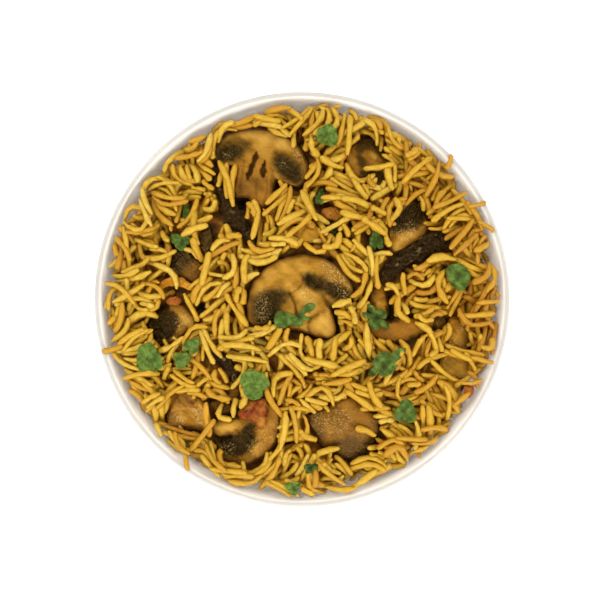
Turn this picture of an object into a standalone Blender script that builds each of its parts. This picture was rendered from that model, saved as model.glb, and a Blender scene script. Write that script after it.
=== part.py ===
"""A bowl of mushroom biryani: a white porcelain bowl, a heap of yellow long-grain rice, and the pieces on it.

Lengths are written in millimetres and turned into metres where a mesh is made. The origin is the middle of the
bowl's foot, +Z is up, and +X and +Y are the right and the far side of the bowl as it is looked at from above.
"""
import math

import bmesh
import bpy
import numpy as np
from mathutils import Matrix, Vector
from mathutils.bvhtree import BVHTree

MM = 0.001

# The bowl.
RIM_RADIUS = 80.0
BOWL_HEIGHT = 58.0
LIP_WIDTH = 2.4
FOOT_RADIUS = 37.0
FOOT_WIDTH = 3.5
FOOT_HEIGHT = 4.5
FOOT_RECESS = 2.0
FLOOR_RADIUS = 30.0
FLOOR_HEIGHT = 6.6
WALL_SWEEP = math.radians(70.0)
WALL_STEPS = 5
SIDES = 48

# The heap of rice.
EDGE_RADIUS = 75.0
EDGE_HEIGHT = 49.5
CROWN_RISE = 15.0
CORE_DEPTH = 1.6
CORE_GAP = 0.6
CORE_RINGS = 6
GRAIN_COUNT = 150
GRAIN_LENGTH = 12.6
GRAIN_RADIUS = 1.12
GRAIN_SIDES = 4
GRAIN_SINK = 0.7
GRAIN_ZONE = 71.5
GRAIN_REACH = 79.3
SEED = 41

# The heights are kept on a square grid over the bowl.
CELL = 0.5
HALF_GRID = 84.0
EMPTY = -100.0
GAP = 0.45

POCKET_GAP = 0.6
SLICE_THICKNESS = 4.6
LEAF_THICKNESS = 0.45

RICE = (0.73, 0.42, 0.035)
FLESH = (0.40, 0.20, 0.055)
GILL = (0.045, 0.028, 0.014)
CAP = (0.20, 0.095, 0.025)
ONION = (0.46, 0.24, 0.06)
TOMATO = (0.55, 0.085, 0.02)
WILTED = (0.022, 0.018, 0.010)
LEAF = (0.075, 0.19, 0.035)
PORCELAIN = (0.86, 0.86, 0.85)

for old in list(bpy.data.objects):
    bpy.data.objects.remove(old, do_unlink=True)

rng = np.random.default_rng(SEED)
axis = np.arange(-HALF_GRID, HALF_GRID + CELL / 2, CELL)
GRID_X, GRID_Y = np.meshgrid(axis, axis, indexing="ij")
GRID_R = np.hypot(GRID_X, GRID_Y)


def paint(name, colour, roughness):
    """A plain Principled material."""
    material = bpy.data.materials.new(name)
    material.use_nodes = True
    shader = material.node_tree.nodes["Principled BSDF"]
    shader.inputs["Base Color"].default_value = (*colour, 1.0)
    shader.inputs["Roughness"].default_value = roughness
    shader.inputs["Metallic"].default_value = 0.0
    return material


def finish(name, bm, material, smooth=True):
    """Turn a bmesh in millimetres into a named object in metres, faces out."""
    bmesh.ops.recalc_face_normals(bm, faces=bm.faces[:])
    bmesh.ops.scale(bm, vec=(MM, MM, MM), verts=bm.verts[:])
    mesh = bpy.data.meshes.new(name)
    bm.to_mesh(mesh)
    bm.free()
    if smooth:
        mesh.shade_smooth()
        mesh.set_sharp_from_angle(angle=math.radians(45))
    mesh.materials.append(material)
    obj = bpy.data.objects.new(name, mesh)
    bpy.context.scene.collection.objects.link(obj)
    return obj


def dome(x, y):
    """Height of the rice: a cosine crown over the bowl, EDGE_HEIGHT at the wall."""
    r = np.minimum(np.hypot(x, y), EDGE_RADIUS)
    return EDGE_HEIGHT + CROWN_RISE * np.cos(r / EDGE_RADIUS * math.pi / 2)


# Bowl

def wall(r0, z0, r1, z1, steps):
    """Points of a wall that leaves level at (r0, z0) and sweeps up to (r1, z1)."""
    points = []
    for k in range(steps + 1):
        a = WALL_SWEEP * k / steps
        r = r0 + (r1 - r0) * math.sin(a) / math.sin(WALL_SWEEP)
        z = z0 + (z1 - z0) * (1 - math.cos(a)) / (1 - math.cos(WALL_SWEEP))
        points.append((r, z))
    return points


OUTER_WALL = wall(FOOT_RADIUS + 1.0, FOOT_HEIGHT, RIM_RADIUS, BOWL_HEIGHT - 1.2, WALL_STEPS)
INNER_WALL = wall(FLOOR_RADIUS, FLOOR_HEIGHT, RIM_RADIUS - LIP_WIDTH, BOWL_HEIGHT - 1.2, WALL_STEPS)


def make_bowl():
    """Spin the bowl's section, from under the foot over the rim to the middle of its floor."""
    lip = [(RIM_RADIUS - 0.4, BOWL_HEIGHT - 0.35), (RIM_RADIUS - 1.2, BOWL_HEIGHT),
           (RIM_RADIUS - 2.0, BOWL_HEIGHT - 0.35)]
    foot = [(0.0, FOOT_RECESS), (FOOT_RADIUS - FOOT_WIDTH - 1.0, FOOT_RECESS),
            (FOOT_RADIUS - FOOT_WIDTH, 0.0), (FOOT_RADIUS, 0.0)]
    section = foot + OUTER_WALL + lip + INNER_WALL[::-1] + [(0.0, FLOOR_HEIGHT)]
    bm = bmesh.new()
    verts = [bm.verts.new((r, 0.0, z)) for r, z in section]
    edges = [bm.edges.new(pair) for pair in zip(verts, verts[1:])]
    bmesh.ops.spin(bm, geom=verts + edges, cent=(0, 0, 0), axis=(0, 0, 1), angle=2 * math.pi,
                   steps=SIDES, use_merge=True)
    bmesh.ops.remove_doubles(bm, verts=bm.verts[:], dist=0.001)
    return finish("bowl", bm, paint("porcelain", PORCELAIN, 0.18))


# Height maps

def lookup(field, x, y):
    """Nearest value of a height map at the given places."""
    i = np.clip(np.rint((np.asarray(x) + HALF_GRID) / CELL).astype(int), 0, len(axis) - 1)
    j = np.clip(np.rint((np.asarray(y) + HALF_GRID) / CELL).astype(int), 0, len(axis) - 1)
    return field[i, j]


def spread(field, radius, pick):
    """Give each cell the largest (or smallest) value within a radius."""
    n = int(math.ceil(radius / CELL))
    out = field.copy()
    for i in range(-n, n + 1):
        for j in range(-n, n + 1):
            if i * i + j * j <= n * n + 1:
                out = pick(out, np.roll(field, (i, j), (0, 1)))
    return out


def soften(field, radius):
    """Average a height map over a disc."""
    n = int(math.ceil(radius / CELL))
    total = np.zeros_like(field)
    count = 0
    for i in range(-n, n + 1):
        for j in range(-n, n + 1):
            if i * i + j * j <= n * n:
                total += np.roll(field, (i, j), (0, 1))
                count += 1
    return total / count


def heights(obj, matrix):
    """Highest and lowest point of an object over each grid cell, with the block of cells it covers."""
    verts = [matrix @ (v.co / MM) for v in obj.data.vertices]
    tree = BVHTree.FromPolygons(verts, [tuple(p.vertices) for p in obj.data.polygons])
    xs = [v.x for v in verts]
    ys = [v.y for v in verts]
    i0 = int((min(xs) + HALF_GRID) / CELL)
    i1 = int((max(xs) + HALF_GRID) / CELL) + 2
    j0 = int((min(ys) + HALF_GRID) / CELL)
    j1 = int((max(ys) + HALF_GRID) / CELL) + 2
    high = np.full((i1 - i0, j1 - j0), EMPTY)
    low = np.full((i1 - i0, j1 - j0), -EMPTY * 10)
    for i in range(i0, i1):
        for j in range(j0, j1):
            hit = tree.ray_cast(Vector((axis[i], axis[j], 500.0)), Vector((0, 0, -1)))[0]
            if hit is not None:
                high[i - i0, j - j0] = hit.z
                low[i - i0, j - j0] = tree.ray_cast(Vector((axis[i], axis[j], -500.0)), Vector((0, 0, 1)))[0].z
    return slice(i0, i1), slice(j0, j1), high, low


def surface(obj):
    """Height map of an object that stands at the origin."""
    block_i, block_j, high, low = heights(obj, Matrix.Identity(4))
    field = np.full(GRID_X.shape, EMPTY)
    field[block_i, block_j] = high
    return field


TOPS = np.full(GRID_X.shape, EMPTY)
POCKETS = bpy.data.collections.new("pockets")
bpy.context.scene.collection.children.link(POCKETS)
POCKET_PAINT = paint("pocket", RICE, 0.5)


def settle(obj, matrix, field, only_up=True):
    """Lift (or drop) an object until it clears the height map, and return the height it moved by."""
    block_i, block_j, high, low = heights(obj, matrix)
    rise = float(np.max(spread(field, 2 * CELL, np.maximum)[block_i, block_j] - low)) + GAP
    if only_up:
        rise = max(rise, 0.0)
    return rise, block_i, block_j, high + rise


def record(block_i, block_j, high):
    """Add a placed piece to the map of the pieces' tops."""
    TOPS[block_i, block_j] = np.maximum(TOPS[block_i, block_j], high)


# Pieces that lie in the rice

def around(values):
    """An outline from radii at equal steps of angle, joined by smooth waves."""
    def radius(angle):
        place = (angle / (2 * math.pi) * len(values)) % len(values)
        k = int(place)
        t = (1 - math.cos((place - k) * math.pi)) / 2
        return values[k] * (1 - t) + values[(k + 1) % len(values)] * t
    return radius


def slab_mesh(outline, sides, rings, thickness, height):
    """A thick flat piece: rings of points inside an outline, with a height for each, over a level underside."""
    bm = bmesh.new()
    angles = [2 * math.pi * k / sides for k in range(sides)]
    rows = []
    for f in rings:
        rows.append([bm.verts.new((f * outline(a) * math.cos(a), f * outline(a) * math.sin(a),
                                   height(f, a))) for a in angles])
    below = [bm.verts.new((0.9 * outline(a) * math.cos(a), 0.9 * outline(a) * math.sin(a), -thickness))
             for a in angles]
    centre = bm.verts.new((0, 0, height(0.0, 0.0)))
    base = bm.verts.new((0, 0, -thickness))
    for k in range(sides):
        n = (k + 1) % sides
        for row, inner in zip(rows, rows[1:]):
            bm.faces.new((row[k], row[n], inner[n]))
            bm.faces.new((row[k], inner[n], inner[k]))
        bm.faces.new((rows[-1][k], rows[-1][n], centre))
        bm.faces.new((below[k], below[n], rows[0][n]))
        bm.faces.new((below[k], rows[0][n], rows[0][k]))
        bm.faces.new((below[n], below[k], base))
    return bm


def lay_flat(name, bm, outline, thickness, material, x, y, heading, lift, lean=(0.0, 0.0)):
    """Place a piece on the dome at (x, y), turned to its heading, its top lift above the rice."""
    step = 8.0
    slope_x = float(dome(x + step, y) - dome(x - step, y)) / (2 * step) + lean[0]
    slope_y = float(dome(x, y + step) - dome(x, y - step)) / (2 * step) + lean[1]
    normal = Vector((-slope_x, -slope_y, 1.0)).normalized()
    turn = Vector((0, 0, 1)).rotation_difference(normal).to_matrix().to_4x4()
    turn = turn @ Matrix.Rotation(math.radians(heading), 4, "Z")
    obj = finish(name, bm, material)
    place = Vector((x, y, float(dome(x, y)) + lift))
    rise, *maps = settle(obj, Matrix.Translation(place) @ turn, np.maximum(TOPS, WALL_MAP))
    record(*maps)
    place.z += rise
    obj.rotation_euler = turn.to_euler()
    obj.location = place * MM
    pocket(name, outline, thickness, Matrix.Translation(place) @ turn)
    return obj


def pocket(name, outline, thickness, matrix, sides=10, tall=14.0):
    """A guide for the pocket that a piece fills in the rice: its outline let out by a gap, from its underside up."""
    bm = bmesh.new()
    rows = []
    for z in (-thickness - POCKET_GAP, tall):
        row = []
        for k in range(sides):
            a = 2 * math.pi * k / sides
            r = max(outline(a + d) for d in (-0.2, 0.0, 0.2)) + POCKET_GAP
            row.append(bm.verts.new(matrix @ Vector((r * math.cos(a), r * math.sin(a), z))))
        rows.append(row)
    bm.faces.new(rows[0])
    bm.faces.new(rows[1])
    for k in range(sides):
        n = (k + 1) % sides
        bm.faces.new((rows[0][k], rows[0][n], rows[1][n], rows[1][k]))
    guide = finish(name + "_pocket", bm, POCKET_PAINT, smooth=False)
    bpy.context.scene.collection.objects.unlink(guide)
    POCKETS.objects.link(guide)


def mushroom_slice(name, x, y, heading, width, cap, stalk, stalk_width, stalk_turn, lift, gill=0.62,
                   lean=(0.0, 0.0), thickness=SLICE_THICKNESS):
    """A slice through a mushroom: a half-round cap toward +X, gills sunk on both sides, and a stalk behind."""
    half = width / 2

    def outline(a):
        c = math.cos(a)
        s = math.sin(a)
        if c >= 0:
            reach = 1 / math.sqrt((c / cap) ** 2 + (s / half) ** 2)
        else:
            reach = 1 / math.sqrt((c / (cap * gill)) ** 2 + (s / half) ** 2)
        back = math.pi + math.radians(stalk_turn)
        off = (a - back + math.pi) % (2 * math.pi) - math.pi
        if abs(off) < 1.1:
            side = stalk_width / 2 / max(abs(math.sin(off)), 0.02)
            reach = max(reach, min(side, stalk / max(math.cos(off), 0.3)))
        return reach

    def height(f, a):
        back = math.pi + math.radians(stalk_turn)
        off = abs((a - back + math.pi) % (2 * math.pi) - math.pi)
        in_gill = 0.62 < off < 2.3 and 0.3 < f < 0.9
        return -1.4 if f > 0.95 else (-1.1 if in_gill else 0.0)

    bm = slab_mesh(outline, 26, (1.0, 0.9, 0.5), thickness, height)
    return lay_flat(name, bm, outline, thickness, paint(name + "_flesh", FLESH, 0.4), x, y, heading, lift, lean)


def chunk(name, x, y, radii, heading, lift, bulge, colour, roughness, sides=14, thickness=4.0, lean=(0.0, 0.0)):
    """A lump with a hand-drawn outline and a domed top."""
    outline = around(radii)

    def height(f, a):
        return bulge * (1 - f * f) - (0.8 if f > 0.95 else 0.0)

    rings = (1.0, 0.86, 0.45) if sides > 14 else (1.0, 0.6)
    bm = slab_mesh(outline, sides, rings, thickness, height)
    skin = paint(name + "_skin", colour, roughness)
    return lay_flat(name, bm, outline, thickness, skin, x, y, heading, lift - bulge / 2, lean)


def strip(name, path, widths, thickness, lift, colour, roughness):
    """A flat strand along a path of places on the dome, six points round, pointed at both ends."""
    bm = bmesh.new()
    points = [Vector((x, y, float(dome(x, y)) + lift + 0.35 * math.sin(2.1 * k))) for k, (x, y) in enumerate(path)]
    rows = []
    for k, (p, w) in enumerate(zip(points, widths)):
        ahead = points[min(k + 1, len(points) - 1)] - points[max(k - 1, 0)]
        side = Vector((-ahead.y, ahead.x, 0)).normalized()
        ring = []
        for c, h in ((1, 0), (0.6, 0.5), (-0.5, 0.5), (-1, 0), (-0.6, -0.5), (0.5, -0.5)):
            ring.append(bm.verts.new(p + side * (c * w / 2) + Vector((0, 0, h * thickness))))
        rows.append(ring)
    for row, nxt in zip(rows, rows[1:]):
        for k in range(6):
            n = (k + 1) % 6
            bm.faces.new((row[k], row[n], nxt[n]))
            bm.faces.new((row[k], nxt[n], nxt[k]))
    for row, p, q in ((rows[0], points[0], points[1]), (rows[-1], points[-1], points[-2])):
        tip = bm.verts.new(p + (p - q).normalized() * 1.2)
        for k in range(6):
            bm.faces.new((row[k], row[(k + 1) % 6], tip))
    obj = finish(name, bm, paint(name + "_tissue", colour, roughness))
    rise, *maps = settle(obj, Matrix.Identity(4), bed())
    record(*maps)
    obj.location.z = rise * MM
    return obj


def bed():
    """Height map of the body of the rice with the pieces placed so far."""
    body = np.where(GRID_R < EDGE_RADIUS - 1.0, dome(GRID_X, GRID_Y) - CORE_DEPTH, EMPTY)
    return np.maximum(np.maximum(TOPS, WALL_MAP), body)


def leaf(name, x, y, length, width, heading, field, lobes=3, cut=0.2, wave=0.5, base=0.25, sides=20):
    """A coriander leaflet: lobed outline, thin, wavy, both faces in the same triangles, lying on a height map."""
    bm = bmesh.new()
    rest = soften(field, 4.0)
    turn = math.radians(heading)

    def place(a, r):
        u = r * math.cos(a) * length / 2
        v = r * math.sin(a) * width / 2
        px = x + u * math.cos(turn) - v * math.sin(turn)
        py = y + u * math.sin(turn) + v * math.cos(turn)
        return px, py, float(lookup(rest, px, py)) + wave * r * math.sin(lobes * a + x)

    upper = []
    lower = []
    for k in range(sides):
        a = 2 * math.pi * k / sides
        lobe = abs(math.cos(lobes * a / 2))
        tooth = 0.06 * (-1) ** k
        r = 1 - cut * (1 - lobe) + tooth - base * max(0.0, -math.cos(a)) ** 3
        px, py, pz = place(a, r)
        upper.append(bm.verts.new((px, py, pz + LEAF_THICKNESS / 2)))
        lower.append(bm.verts.new((px, py, pz - LEAF_THICKNESS / 2)))
    px, py, pz = place(0.0, 0.0)
    top = bm.verts.new((px, py, pz + 0.3 + LEAF_THICKNESS / 2))
    bottom = bm.verts.new((px, py, pz + 0.3 - LEAF_THICKNESS / 2))
    for k in range(sides):
        n = (k + 1) % sides
        bm.faces.new((upper[k], upper[n], top))
        bm.faces.new((lower[n], lower[k], bottom))
        bm.faces.new((lower[k], lower[n], upper[n]))
        bm.faces.new((lower[k], upper[n], upper[k]))
    obj = finish(name, bm, paint(name + "_blade", LEAF, 0.45))
    rise, *maps = settle(obj, Matrix.Identity(4), field, only_up=False)
    record(*maps)
    obj.location.z = rise * MM
    return obj


# Rice

def inner_radius(z):
    """Radius of the bowl's inside at a height, along the straight facets of its wall."""
    return np.interp(z, [p[1] for p in INNER_WALL], [p[0] for p in INNER_WALL])


def inner_height(r):
    """Height of the bowl's inside at a radius; the rim's height from there outward."""
    inside = np.interp(r, [p[0] for p in INNER_WALL], [p[1] for p in INNER_WALL])
    return np.where(r < INNER_WALL[-1][0], inside, BOWL_HEIGHT)


def make_core():
    """The body of the rice: the bowl's inside with a gap, up to a dome, with a pocket for each piece."""
    bm = bmesh.new()
    edge_z = EDGE_HEIGHT - CORE_DEPTH
    profile = [(r - CORE_GAP, z + CORE_GAP) for r, z in INNER_WALL if z + CORE_GAP < edge_z - 3]
    edge_r = float(inner_radius(edge_z - CORE_GAP)) - CORE_GAP
    profile.append((edge_r, edge_z))
    angles = [2 * math.pi * k / SIDES for k in range(SIDES)]
    rows = [[bm.verts.new((r * math.cos(a), r * math.sin(a), z)) for a in angles] for r, z in profile]
    floor = bm.verts.new((0, 0, FLOOR_HEIGHT + CORE_GAP))
    for k in range(1, CORE_RINGS):
        r = edge_r * (1 - k / CORE_RINGS)
        row = []
        for a in angles:
            x = r * math.cos(a)
            y = r * math.sin(a)
            row.append(bm.verts.new((x, y, float(dome(x, y)) - CORE_DEPTH)))
        rows.append(row)
    crown = bm.verts.new((0, 0, float(dome(0, 0)) - CORE_DEPTH))
    for row, nxt in zip(rows, rows[1:]):
        for k in range(SIDES):
            n = (k + 1) % SIDES
            bm.faces.new((row[k], row[n], nxt[n]))
            bm.faces.new((row[k], nxt[n], nxt[k]))
    for k in range(SIDES):
        n = (k + 1) % SIDES
        bm.faces.new((rows[0][k], rows[0][n], floor))
        bm.faces.new((rows[-1][k], rows[-1][n], crown))
    core = finish("rice", bm, paint("rice_grain", RICE, 0.4), smooth=False)
    combine(core, POCKETS, "DIFFERENCE", "EXACT")
    return core


def grain_line(x, y, turn, length, bend, rice, blocked):
    """Lay a bent grain over the heights below it: five points that rest on the two sides of its middle."""
    s = np.linspace(-length / 2, length / 2, 13)
    off = bend * ((s / (length / 2)) ** 2 - 0.33)
    px = x + s * math.cos(turn) - off * math.sin(turn)
    py = y + s * math.sin(turn) + off * math.cos(turn)
    floor = np.maximum(lookup(rice, px, py) - GRAIN_SINK, lookup(blocked, px, py)) + GRAIN_RADIUS
    best = None
    for i in range(7):
        for j in range(6, 13):
            if j > i:
                z = (floor[i] * s[j] - floor[j] * s[i]) / (s[j] - s[i])
                if best is None or z > best[0]:
                    best = (z, (floor[j] - floor[i]) / (s[j] - s[i]), i, j)
    z0, slope, i, j = best
    line = z0 + slope * s
    droop = np.where(s > s[j], s - s[j], np.where(s < s[i], s[i] - s, 0.0))
    line = np.maximum(line - 0.06 * droop ** 2, floor)
    stations = [0, 2, 6, 10, 12]
    joined = np.interp(s, s[stations], line[stations])
    line = line[stations] + max(0.0, float(np.max(floor - joined)))
    return px[stations], py[stations], line, slope


def stamp(field, px, py, pz, radius):
    """Write a laid grain's own height into the map."""
    t = np.linspace(0, len(px) - 1, 33)
    k = np.arange(len(px))
    cx = np.interp(t, k, px)
    cy = np.interp(t, k, py)
    cz = np.interp(t, k, pz)
    i0 = int((cx.min() - radius + HALF_GRID) / CELL)
    i1 = int((cx.max() + radius + HALF_GRID) / CELL) + 2
    j0 = int((cy.min() - radius + HALF_GRID) / CELL)
    j1 = int((cy.max() + radius + HALF_GRID) / CELL) + 2
    gx = GRID_X[i0:i1, j0:j1, None]
    gy = GRID_Y[i0:i1, j0:j1, None]
    gap = radius ** 2 - (gx - cx) ** 2 - (gy - cy) ** 2
    top = np.where(gap > 0, cz + np.sqrt(np.maximum(gap, 0.0)), EMPTY).max(axis=2)
    field[i0:i1, j0:j1] = np.maximum(field[i0:i1, j0:j1], top)


def grain_mesh(index, px, py, pz, radius):
    """A grain as a bent rod: three rings of GRAIN_SIDES points and a tip at each end."""
    bm = bmesh.new()
    points = [Vector(p) for p in zip(px, py, pz)]
    rows = []
    for k in (1, 2, 3):
        ahead = (points[k + 1] - points[k - 1]).normalized()
        side = Vector((-ahead.y, ahead.x, 0)).normalized()
        up = ahead.cross(side)
        size = radius * (1.0 if k == 2 else 0.88)
        ring = []
        for m in range(GRAIN_SIDES):
            a = 2 * math.pi * m / GRAIN_SIDES + 0.3 * index
            ring.append(bm.verts.new(points[k] + side * (size * math.cos(a)) + up * (size * math.sin(a))))
        rows.append(ring)
    for row, nxt in zip(rows, rows[1:]):
        for m in range(GRAIN_SIDES):
            n = (m + 1) % GRAIN_SIDES
            bm.faces.new((row[m], row[n], nxt[n]))
            bm.faces.new((row[m], nxt[n], nxt[m]))
    for row, tip in ((rows[0], points[0]), (rows[-1], points[-1])):
        end = bm.verts.new(tip)
        for m in range(GRAIN_SIDES):
            bm.faces.new((row[m], row[(m + 1) % GRAIN_SIDES], end))
    bmesh.ops.recalc_face_normals(bm, faces=bm.faces[:])
    bmesh.ops.scale(bm, vec=(MM, MM, MM), verts=bm.verts[:])
    mesh = bpy.data.meshes.new("grain.%03d" % index)
    bm.to_mesh(mesh)
    bm.free()
    return bpy.data.objects.new(mesh.name, mesh)


def combine(obj, collection, operation, solver):
    """Cut a collection's objects out of an object, or join them to it, and remove the collection."""
    change = obj.modifiers.new(operation.lower(), "BOOLEAN")
    change.operation = operation
    change.operand_type = "COLLECTION"
    change.collection = collection
    change.solver = solver
    bpy.context.view_layer.update()
    shaped = obj.evaluated_get(bpy.context.evaluated_depsgraph_get())
    mesh = bpy.data.meshes.new_from_object(shaped)
    obj.modifiers.clear()
    obj.data = mesh
    for other in list(collection.objects):
        bpy.data.objects.remove(other, do_unlink=True)
    bpy.data.collections.remove(collection)


def largest_island(mesh):
    """Keep the one body of a mesh with the most faces; loose scraps and sealed hollows go."""
    bm = bmesh.new()
    bm.from_mesh(mesh)
    bmesh.ops.triangulate(bm, faces=bm.faces[:])
    left = set(bm.faces)
    islands = []
    while left:
        seed = left.pop()
        island = [seed]
        stack = [seed]
        while stack:
            face = stack.pop()
            for edge in face.edges:
                for other in edge.link_faces:
                    if other in left:
                        left.remove(other)
                        island.append(other)
                        stack.append(other)
        islands.append(island)
    islands.sort(key=len, reverse=True)
    for island in islands[1:]:
        bmesh.ops.delete(bm, geom=island, context="FACES")
    bm.to_mesh(mesh)
    bm.free()


def make_rice():
    """The core with a seeded layer of grains fused on, spread by always choosing the lowest of a few places."""
    core = make_core()
    rice = surface(core)
    blocked = spread(np.maximum(TOPS, WALL_MAP), GRAIN_RADIUS + GAP, np.maximum) + GAP
    shown = TOPS > EMPTY
    grains = bpy.data.collections.new("grains")
    bpy.context.scene.collection.children.link(grains)
    made = 0
    for trial in range(GRAIN_COUNT * 6):
        if made >= GRAIN_COUNT:
            break
        radius = GRAIN_ZONE * np.sqrt(rng.uniform(0, 1, 14))
        angle = rng.uniform(0, 2 * math.pi, 14)
        cx = radius * np.cos(angle)
        cy = radius * np.sin(angle)
        level = lookup(rice, cx, cy) - dome(cx, cy) + 50.0 * lookup(shown, cx, cy)
        pick = int(np.argmin(level))
        turn = rng.uniform(0, math.pi)
        length = GRAIN_LENGTH * rng.uniform(0.82, 1.12)
        bend = rng.uniform(-1.6, 1.6)
        size = GRAIN_RADIUS * rng.uniform(0.92, 1.06)
        px, py, pz, slope = grain_line(cx[pick], cy[pick], turn, length, bend, rice, blocked)
        covered = lookup(shown, px[1:4], py[1:4])
        if covered.sum() > 1 or abs(slope) > 0.75 or np.hypot(px, py).max() > GRAIN_REACH:
            continue
        if pz.max() > dome(cx[pick], cy[pick]) + 7.0:
            continue
        if np.min(pz[1:4] - lookup(rice, px[1:4], py[1:4])) > GRAIN_RADIUS - 0.5:
            continue
        grains.objects.link(grain_mesh(made, px, py, pz, size))
        stamp(rice, px, py, pz, size)
        made += 1
    combine(core, grains, "UNION", "MANIFOLD")
    core.data.name = "rice"
    largest_island(core.data)
    return core


make_bowl()
WALL_MAP = np.where(GRID_R > FLOOR_RADIUS, inner_height(GRID_R), EMPTY)
WALL_MAP = np.where(GRID_R > RIM_RADIUS + 1.0, EMPTY, WALL_MAP)

# Mushroom slices: place, heading of the cap, width over the cap, cap height, stalk length, width and turn.
mushroom_slice("mushroom_far", -16.4, 53.4, 76, 36.0, 14.2, 18.5, 13.0, 14, 1.2)
mushroom_slice("mushroom_middle", -2.4, 0.6, 100, 41.0, 17.2, 20.0, 12.5, 27, 1.6, gill=0.5)
mushroom_slice("mushroom_near_left", -20.6, -49.8, -55, 30.5, 13.8, 15.0, 6.4, 47, 0.8, gill=0.45)
mushroom_slice("mushroom_right", 35.4, -7.4, -80, 27.0, 10.6, 12.5, 9.0, 16, 0.4, gill=0.4)
mushroom_slice("mushroom_far_right", 40.0, 29.4, -55, 24.5, 10.0, 9.5, 17.0, 0, 0.8, gill=0.85)
mushroom_slice("mushroom_back", 25.6, 53.4, 183, 19.5, 9.2, 9.0, 12.0, 0, -0.6, gill=0.9)
mushroom_slice("mushroom_left", -49.6, -8.2, 20, 18.0, 9.6, 9.4, 14.0, 0, -0.4, gill=0.9)
chunk("mushroom_cap_near", 15.8, -49.6, (14.0, 14.6, 13.4, 13.6, 12.6, 15.6, 12.0, 12.6, 13.8, 14.6, 13.6, 14.8),
      0, 2.2, 2.6, CAP, 0.3, sides=22, thickness=5.0)
chunk("mushroom_cap_left", -43.8, 13.0, (7.8, 7.4, 7.6, 8.2, 7.2, 7.8, 7.4, 7.0), 10, 0.2, 1.2, CAP, 0.3)
chunk("mushroom_scrap_left", -36.9, 23.0, (2.8, 3.6, 6.6, 3.4, 2.6, 3.4, 6.2, 3.8), 0, -0.2, 0.6, GILL, 0.5, 12, 3.0)
chunk("mushroom_scrap_near", -31.2, -41.4, (4.8, 3.4, 2.6, 3.2, 4.6, 3.0, 2.4, 3.2), -10, -0.4, 0.6, CAP, 0.4, 12, 3.0)
chunk("mushroom_scrap_far", 15.2, 23.4, (2.8, 3.0, 3.8, 3.0, 2.6, 3.0, 3.6, 3.2), 0, 0.4, 0.8, CAP, 0.4, 12, 3.0)
chunk("mushroom_scrap_low", -27.0, -35.4, (3.0, 3.2, 4.2, 3.0, 2.8, 3.2, 4.0, 3.4), 0, -0.4, 0.8, CAP, 0.4, 12, 3.0)
chunk("mushroom_scrap_right", 52.8, -8.6, (3.2, 3.0, 3.6, 3.0, 3.0, 2.8, 3.4, 3.2), 0, -0.4, 0.8, CAP, 0.4, 12, 3.0)

# Softened onion.
chunk("onion_near_left", -45.2, -45.6, (8.6, 8.8, 6.4, 8.4, 8.0, 8.6, 6.2, 8.8), -8, 0.2, 0.8, ONION, 0.2, 14, 2.6)
chunk("onion_petal", -35.2, -47.6, (1.9, 3.0, 6.6, 3.0, 1.6, 3.0, 6.2, 3.2), 8, 2.4, 0.6, ONION, 0.2, 12, 1.6)
chunk("onion_right", 58.8, -15.8, (5.8, 5.6, 5.0, 5.4, 5.8, 5.2, 4.6, 5.4), 0, -0.6, 0.8, ONION, 0.2, 12, 2.4)
chunk("onion_right_low", 58.0, -26.4, (5.6, 5.0, 4.4, 5.0, 5.6, 5.0, 4.2, 4.8), -8, -0.6, 0.8, ONION, 0.2, 12, 2.4)
chunk("onion_back", 2.0, 25.4, (5.8, 4.6, 3.8, 4.4, 5.8, 4.4, 3.6, 4.6), 5, -0.4, 0.8, ONION, 0.25, 12, 2.6)
strip("onion_strip", [(-55.0, 4.6), (-51.0, 6.8), (-46.5, 6.6), (-41.0, 3.8)], (2.4, 3.2, 3.2, 2.2), 1.4, 0.9,
      ONION, 0.25)

# Tomato.
chunk("tomato_near", -18.0, -42.6, (4.8, 4.4, 4.4, 4.6, 4.8, 4.0, 4.2, 4.6), 0, 1.8, 1.0, TOMATO, 0.3, 12, 2.0)
chunk("tomato_back", 11.7, 33.0, (4.6, 3.4, 2.6, 3.0, 4.4, 3.2, 2.6, 3.4), -12, 0.6, 0.8, TOMATO, 0.3, 12, 2.4)
chunk("tomato_right", 64.4, -36.0, (2.8, 2.6, 2.8, 2.6, 2.6, 2.8, 3.0, 2.8), 20, 0.2, 0.6, TOMATO, 0.3, 10, 2.0)
chunk("tomato_left", -49.6, -0.6, (2.4, 2.0, 1.8, 2.0, 2.6, 2.2, 1.8, 2.0), 0, 0.6, 0.6, TOMATO, 0.3, 10, 2.0)

# Herbs cooked dark and soft.
strip("wilted_far_left", [(-34.8, 50.2), (-33.2, 45.6), (-30.6, 41.0), (-28.8, 36.6), (-26.2, 31.6), (-22.0, 26.4),
                          (-18.2, 20.6)], (2.4, 2.8, 3.2, 4.2, 8.4, 5.0, 2.6), 1.6, 0.8, WILTED, 0.4)
strip("wilted_right", [(30.6, 7.2), (33.8, 10.8), (38.8, 15.6), (45.0, 18.6), (51.2, 22.0), (57.6, 23.2)],
      (3.2, 4.6, 5.2, 6.6, 8.4, 6.0), 1.8, 0.8, WILTED, 0.4)
strip("wilted_left", [(-37.6, -20.8), (-32.4, -21.2), (-28.4, -24.2), (-26.0, -28.8), (-24.2, -34.2)],
      (2.4, 3.2, 3.6, 3.4, 2.4), 1.4, 1.0, WILTED, 0.4)

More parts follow.
